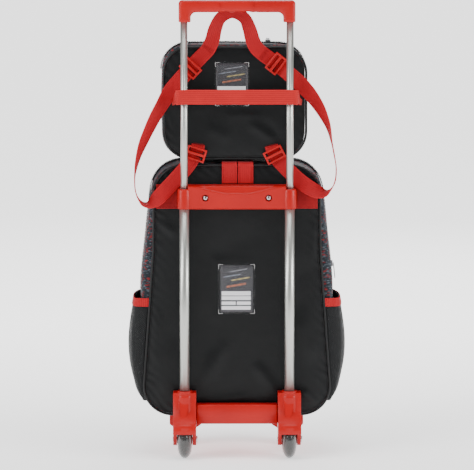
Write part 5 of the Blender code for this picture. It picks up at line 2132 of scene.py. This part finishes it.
HAUL_LOOP = (
    ((-0.0778, 0.0246, 0.6464), (0.73, 0, -0.69)),
    ((-0.0725, 0.0246, 0.6520), (0.73, 0, -0.69)),
    ((-0.0600, 0.0246, 0.6650), (0.70, 0, -0.71)),
    ((-0.0470, 0.0240, 0.6790), (0.85, 0, -0.50)),
    ((-0.0400, 0.0235, 0.6950), (0.95, 0.1, -0.3)),
    ((-0.0355, 0.0240, 0.7125), (0.86, 0.4, -0.38)),
    ((-0.0265, 0.0254, 0.7300), (0.50, 0.55, -0.62)),
    ((-0.0075, 0.0264, 0.7400), (0, 0.45, -0.88)),
    ((0.0120, 0.0254, 0.7300), (-0.50, 0.55, -0.62)),
    ((0.0205, 0.0240, 0.7125), (-0.86, 0.4, -0.33)),
    ((0.0255, 0.0235, 0.6950), (-0.95, 0.1, -0.2)),
    ((0.0320, 0.0240, 0.6810), (-0.8, 0, -0.55)),
    ((0.0440, 0.0246, 0.6700), (-0.64, 0, -0.77)),
    ((0.0600, 0.0246, 0.6585), (-0.62, 0, -0.79)),
    ((0.0657, 0.0246, 0.6540), (-0.62, 0, -0.79)),
)
BAND_HALF = (
    ((0.0400, -0.0148, 0.6020), (0, 0, 1)),
    ((0.0800, -0.0148, 0.6020), (0, 0, 1)),
    ((0.0950, -0.0148, 0.6015), (0, 0, 1)),
    ((0.0990, -0.0113, 0.6000), (0, 0, 1)),
    ((0.1005, 0.0000, 0.5965), (0, -0.20, 1)),
    ((0.1025, 0.0130, 0.5870), (0, -0.25, 1)),
    ((0.1055, 0.0220, 0.5840), (0, -0.15, 1)),
)


def placed(stations: Iterable[Station]) -> tuple[Station, ...]:
    """Stations whose Y is counted from the tube plane, put in the row frame."""
    return tuple(((x, behind(y), z), across) for (x, y, z), across in stations)


@dataclass(frozen=True)
class LadderLock:
    """A moulded strap adjuster with two slots and rounded edges."""

    node: str
    centre: tuple[float, float, float]
    lean: float
    half_length: float = 0.0165
    half_height: float = 0.0110
    thick: float = 0.0042

    def build(self) -> None:
        """Cut the slots out of a grid, give it its thickness and round it."""
        xs = (-self.half_length, -0.0132, 0.0132, self.half_length)
        zs = (-self.half_height, -0.0080, -0.0022, 0.0022, 0.0080, self.half_height)
        bm = sheet(3, 5, lambda s, t: Vector((xs[round(s * 3)], 0.0, zs[round(t * 5)])))
        slots = [face for face in bm.faces if abs(face.calc_center_median().x) < 0.005
                 and 0.0022 < abs(face.calc_center_median().z) < 0.0080]
        bmesh.ops.delete(bm, geom=slots, context="FACES")
        bmesh.ops.solidify(bm, geom=bm.faces[:], thickness=self.thick)
        bmesh.ops.recalc_face_normals(bm, faces=bm.faces)
        offset = sum((v.co.y for v in bm.verts)) / len(bm.verts)
        bmesh.ops.translate(bm, vec=(0, -offset, 0), verts=bm.verts)
        sharp = [edge for edge in bm.edges if len(edge.link_faces) == 2 and edge.calc_face_angle(0.0) > 0.8]
        bmesh.ops.bevel(bm, geom=sharp, offset=0.0011, segments=3, affect="EDGES", profile=0.5, material=-1,
                        clamp_overlap=True)
        matrix = (Matrix.Translation((self.centre[0], behind(self.centre[1]), self.centre[2]))
                  @ Matrix.Rotation(math.radians(self.lean), 4, "Y"))
        bmesh.ops.transform(bm, matrix=matrix, verts=bm.verts)
        add_piece(bm, f"{self.node}_moulding", RED_BUCKLE, Body.SMALL_BAG, Slot.RED_BUCKLE, [self.node],
                         angle=50)


class SmallBag:
    """The small bag: body, panel, piping, window, straps, adjusters, haul loop, trolley band and zip."""

    centre = -0.0030
    panel = Contour(((0.1175, 0.4975, 0.045), (0.1175, 0.6815, 0.042)), centre)
    shell = Contour(((0.1200, 0.4950, 0.045), (0.1200, 0.6880, 0.045)), centre - 0.003)
    zip_y = 0.078

    def build(self) -> None:
        """Make and dress every piece."""
        body = self.build_body()
        self.build_panel()
        NameWindow("small_bag", Body.SMALL_BAG, SMALL_CARD).build()
        self.build_straps()
        self.build_seams(Surface(body))

    def build_body(self) -> bpy.types.Object:
        """The stuffed body.

        Returns:
            The body.
        """
        low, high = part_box("small_bag_body")
        seams = (low.y + 0.004, behind(self.zip_y), high.y - 0.006)
        rings = ((low.y, 0.010), (low.y + 0.0010, 0.0040), (low.y + 0.005, 0.0010), (low.y + 0.025, 0.0026),
                 (seams[1] - 0.010, 0.0009), (seams[1] + 0.010, 0.0009), (high.y - 0.009, 0.0014),
                 (high.y - 0.004, 0.0040), (high.y - 0.0008, 0.011), (high.y, 0.020))
        shell = SoftShell("small_shell", self.shell, rings, seams, swell=0.0034, voxel=0.0045)
        return shell.build(Body.SMALL_BAG, ["small_bag_body"])

    def build_panel(self) -> None:
        """The satin panel with its piping and the stitches beside it."""
        low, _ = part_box("small_bag_panel")
        folds = (
            Fold((0.020, 0.556), (0.066, 0.528), 0.0012, 0.008),
            Fold((0.044, 0.560), (0.078, 0.520), -0.0009, 0.009),
            Fold((-0.080, 0.640), (-0.095, 0.560), 0.0009, 0.010),
            Fold((0.088, 0.660), (0.100, 0.600), 0.0009, 0.009),
            Fold((-0.050, 0.548), (-0.010, 0.530), 0.0008, 0.010),
            Fold((-0.020, 0.575), (0.040, 0.572), 0.0007, 0.012),
        )
        quiet = (-0.080, 0.070, 0.580, 0.690)
        satin = SewnPanel("small_panel_satin", self.panel.inset(0.0026), low.y + 0.0002, low.y + 0.0030,
                          0.0020, folds, quiet, columns=110, rows=90)
        satin.build(Body.SMALL_BAG, ["small_bag_panel"])
        y = middle("small_bag_piping").y
        bm = cord_mesh(self.panel.ring(y), 0.0021, closed=True)
        add_piece(bm, "small_piping", TRIM, Body.SMALL_BAG, Slot.BLACK_FABRIC, ["small_bag_piping"])
        sewing = bmesh.new()
        ring = self.panel.inset(0.0050).ring(low.y + 0.0020, 0.003)
        stitch(sewing, [*ring, ring[0]], OUT, 0.0036, 0.0027, 0.0003)
        add_piece(sewing, "small_piping_stitches", BLACK_THREAD, Body.SMALL_BAG, Slot.BLACK_FABRIC)

    def build_straps(self) -> None:
        """Shoulder straps, lower tabs, haul loop, trolley band and the adjusters."""
        sewing = bmesh.new()
        for side, strap, tab in (("left", LEFT_STRAP, LEFT_TAB), ("right", RIGHT_STRAP, RIGHT_TAB)):
            Webbing(f"strap_{side}", placed(strap)).build(Body.SMALL_BAG, [f"shoulder_strap_{side}"])
            foot = Webbing(f"tab_{side}", placed(tab), width=0.022)
            foot.build(Body.SMALL_BAG, [f"lower_tab_{side}"])
            foot.tack(sewing, 0, lines=2)
        loop = Webbing("haul_loop", placed(HAUL_LOOP), width=0.024)
        loop.build(Body.SMALL_BAG, ["small_bag_haul_loop"])
        for row in (3, 12):
            loop.tack(sewing, row, lines=3)
        other = tuple(((-x, y, z), across) for (x, y, z), across in reversed(BAND_HALF))
        band = Webbing("handle_band", placed((*other, *BAND_HALF)), width=0.024, finish=HANDLE_BAND,
                       gathered=0.4)
        band.build(Body.SMALL_BAG, ["trolley_band"])
        add_piece(sewing, "strap_stitches", RED_THREAD, Body.SMALL_BAG, Slot.RED_WEBBING)
        for node, centre, lean in (("upper_adjuster_left", (-0.0765, 0.0186, 0.6475), 43),
                                   ("upper_adjuster_right", (0.0642, 0.0186, 0.6550), -52),
                                   ("lower_adjuster_left", (-0.0677, 0.0144, 0.5065), 18),
                                   ("lower_adjuster_right", (0.0619, 0.0144, 0.5049), -27)):
            LadderLock(node, centre, lean).build()

    def build_seams(self, body: Surface) -> None:
        """Piping on the front seam and the zip over the top.

        Args:
            body: the stuffed body.
        """
        _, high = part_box("small_bag_body")
        front = [body.lay(point, 0.0006)[0] for point in self.shell.inset(0.0022).ring(high.y - 0.0060)]
        add_piece(cord_mesh(front, 0.0019, closed=True), "small_front_piping", TRIM, Body.SMALL_BAG,
                  Slot.BLACK_FABRIC)
        points = [Vector((p.x, behind(self.zip_y), p.y)) for p in self.shell.points() if p.y > 0.575]
        ZipLine("small_zip", tuple(points), Vector((0, 1, 0)), Body.SMALL_BAG, tape=0.024).build(body)


# -------------------- zips
@dataclass(frozen=True)
class ZipSlider:
    """A slider and the pull that hangs from it, on their own bodies."""

    node: str
    body: str

    def build(self) -> None:
        """Weld the CAD blocks of the slider and the pull and shade them smooth."""
        MouldedCopy(f"{self.node}_zip_slider", ZIP_METAL, Slot.ZIP_METAL, f"{self.body}_slider").build()
        MouldedCopy(f"{self.node}_zip_pull", ZIP_METAL, Slot.ZIP_METAL, f"{self.body}_pull").build()


# -------------------- stage
LIGHTS = (
    ("key", (-2.0, -1.8, 2.0), 1.2, 44.0),
    ("fill", (2.2, -1.6, 1.2), 1.0, 24.0),
    ("top", (0.0, -0.3, 2.8), 1.6, 38.0),
    ("rear", (0.6, 2.6, 1.8), 1.8, 30.0),
    ("left_strip", (-1.7, -0.75, 0.85), 0.7, 17.0),
    ("right_strip", (1.7, -0.65, 0.90), 0.7, 18.0),
)


@dataclass(frozen=True)
class Studio:
    """Pale floor, soft light and a long lens at the trolley side."""

    width: float = 0.782          # what the frame takes in at the tubes
    aim_z: float = 0.3735
    distance: float = 4.6
    azimuth: float = -0.5
    elevation: float = 6.5
    ambient: float = 0.26
    floor_reach: float = 30.0

    def build(self) -> None:
        """Make the floor, the lights and the camera."""
        bm = bmesh.new()
        bmesh.ops.create_grid(bm, x_segments=2, y_segments=2, size=self.floor_reach)
        mesh = bpy.data.meshes.new("floor")
        bm.to_mesh(mesh)
        bm.free()
        mesh.materials.append(material_of(PaleFloor("pale_floor")))
        floor = bpy.data.objects.new("floor", mesh)
        bpy.context.scene.collection.objects.link(floor)
        world = bpy.data.worlds.new("studio")
        bpy.context.scene.world = world
        world.use_nodes = True
        background = world.node_tree.nodes["Background"]
        background.inputs["Color"].default_value = (1.0, 1.0, 1.0, 1.0)
        background.inputs["Strength"].default_value = self.ambient
        for name, at, size, power in LIGHTS:
            self.add_light(name, Vector(at), size, power)
        self.add_camera()

    def add_light(self, name: str, at: Vector, size: float, power: float) -> None:
        """A square soft light that points at the object's middle.

        Args:
            name: its name.
            at: where it stands.
            size: length of a side.
            power: in watts.
        """
        light = bpy.data.lights.new(name, "AREA")
        light.size = size
        light.energy = power
        obj = bpy.data.objects.new(name, light)
        obj.location = at
        obj.rotation_euler = (Vector((0, 0, 0.4)) - at).to_track_quat("-Z", "Y").to_euler()
        bpy.context.scene.collection.objects.link(obj)

    def add_camera(self) -> None:
        """The camera, at the trolley side and a little above."""
        camera = bpy.data.cameras.new("camera")
        camera.sensor_width = 36.0
        camera.lens = 36.0 * self.distance / self.width
        camera.clip_end = 100.0
        obj = bpy.data.objects.new("camera", camera)
        turn, rise = math.radians(self.azimuth), math.radians(self.elevation)
        back = Vector((math.sin(turn) * math.cos(rise), -math.cos(turn) * math.cos(rise), math.sin(rise)))
        obj.location = Vector((0, TUBE_Y, self.aim_z)) + back * self.distance
        obj.rotation_euler = (-back).to_track_quat("-Z", "Y").to_euler()
        bpy.context.scene.collection.objects.link(obj)
        bpy.context.scene.camera = obj


def main() -> None:
    """Build every sub-assembly in order."""
    logging.basicConfig(level=logging.INFO, format="%(name)s: %(message)s")
    Studio().build()
    Trolley().build()
    Backpack().build()
    SmallBag().build()
    for node, body in (("main", "main"), ("pocket", "pocket"), ("small_bag", "small")):
        ZipSlider(node, body).build()


if __name__ == "__main__":
    main()
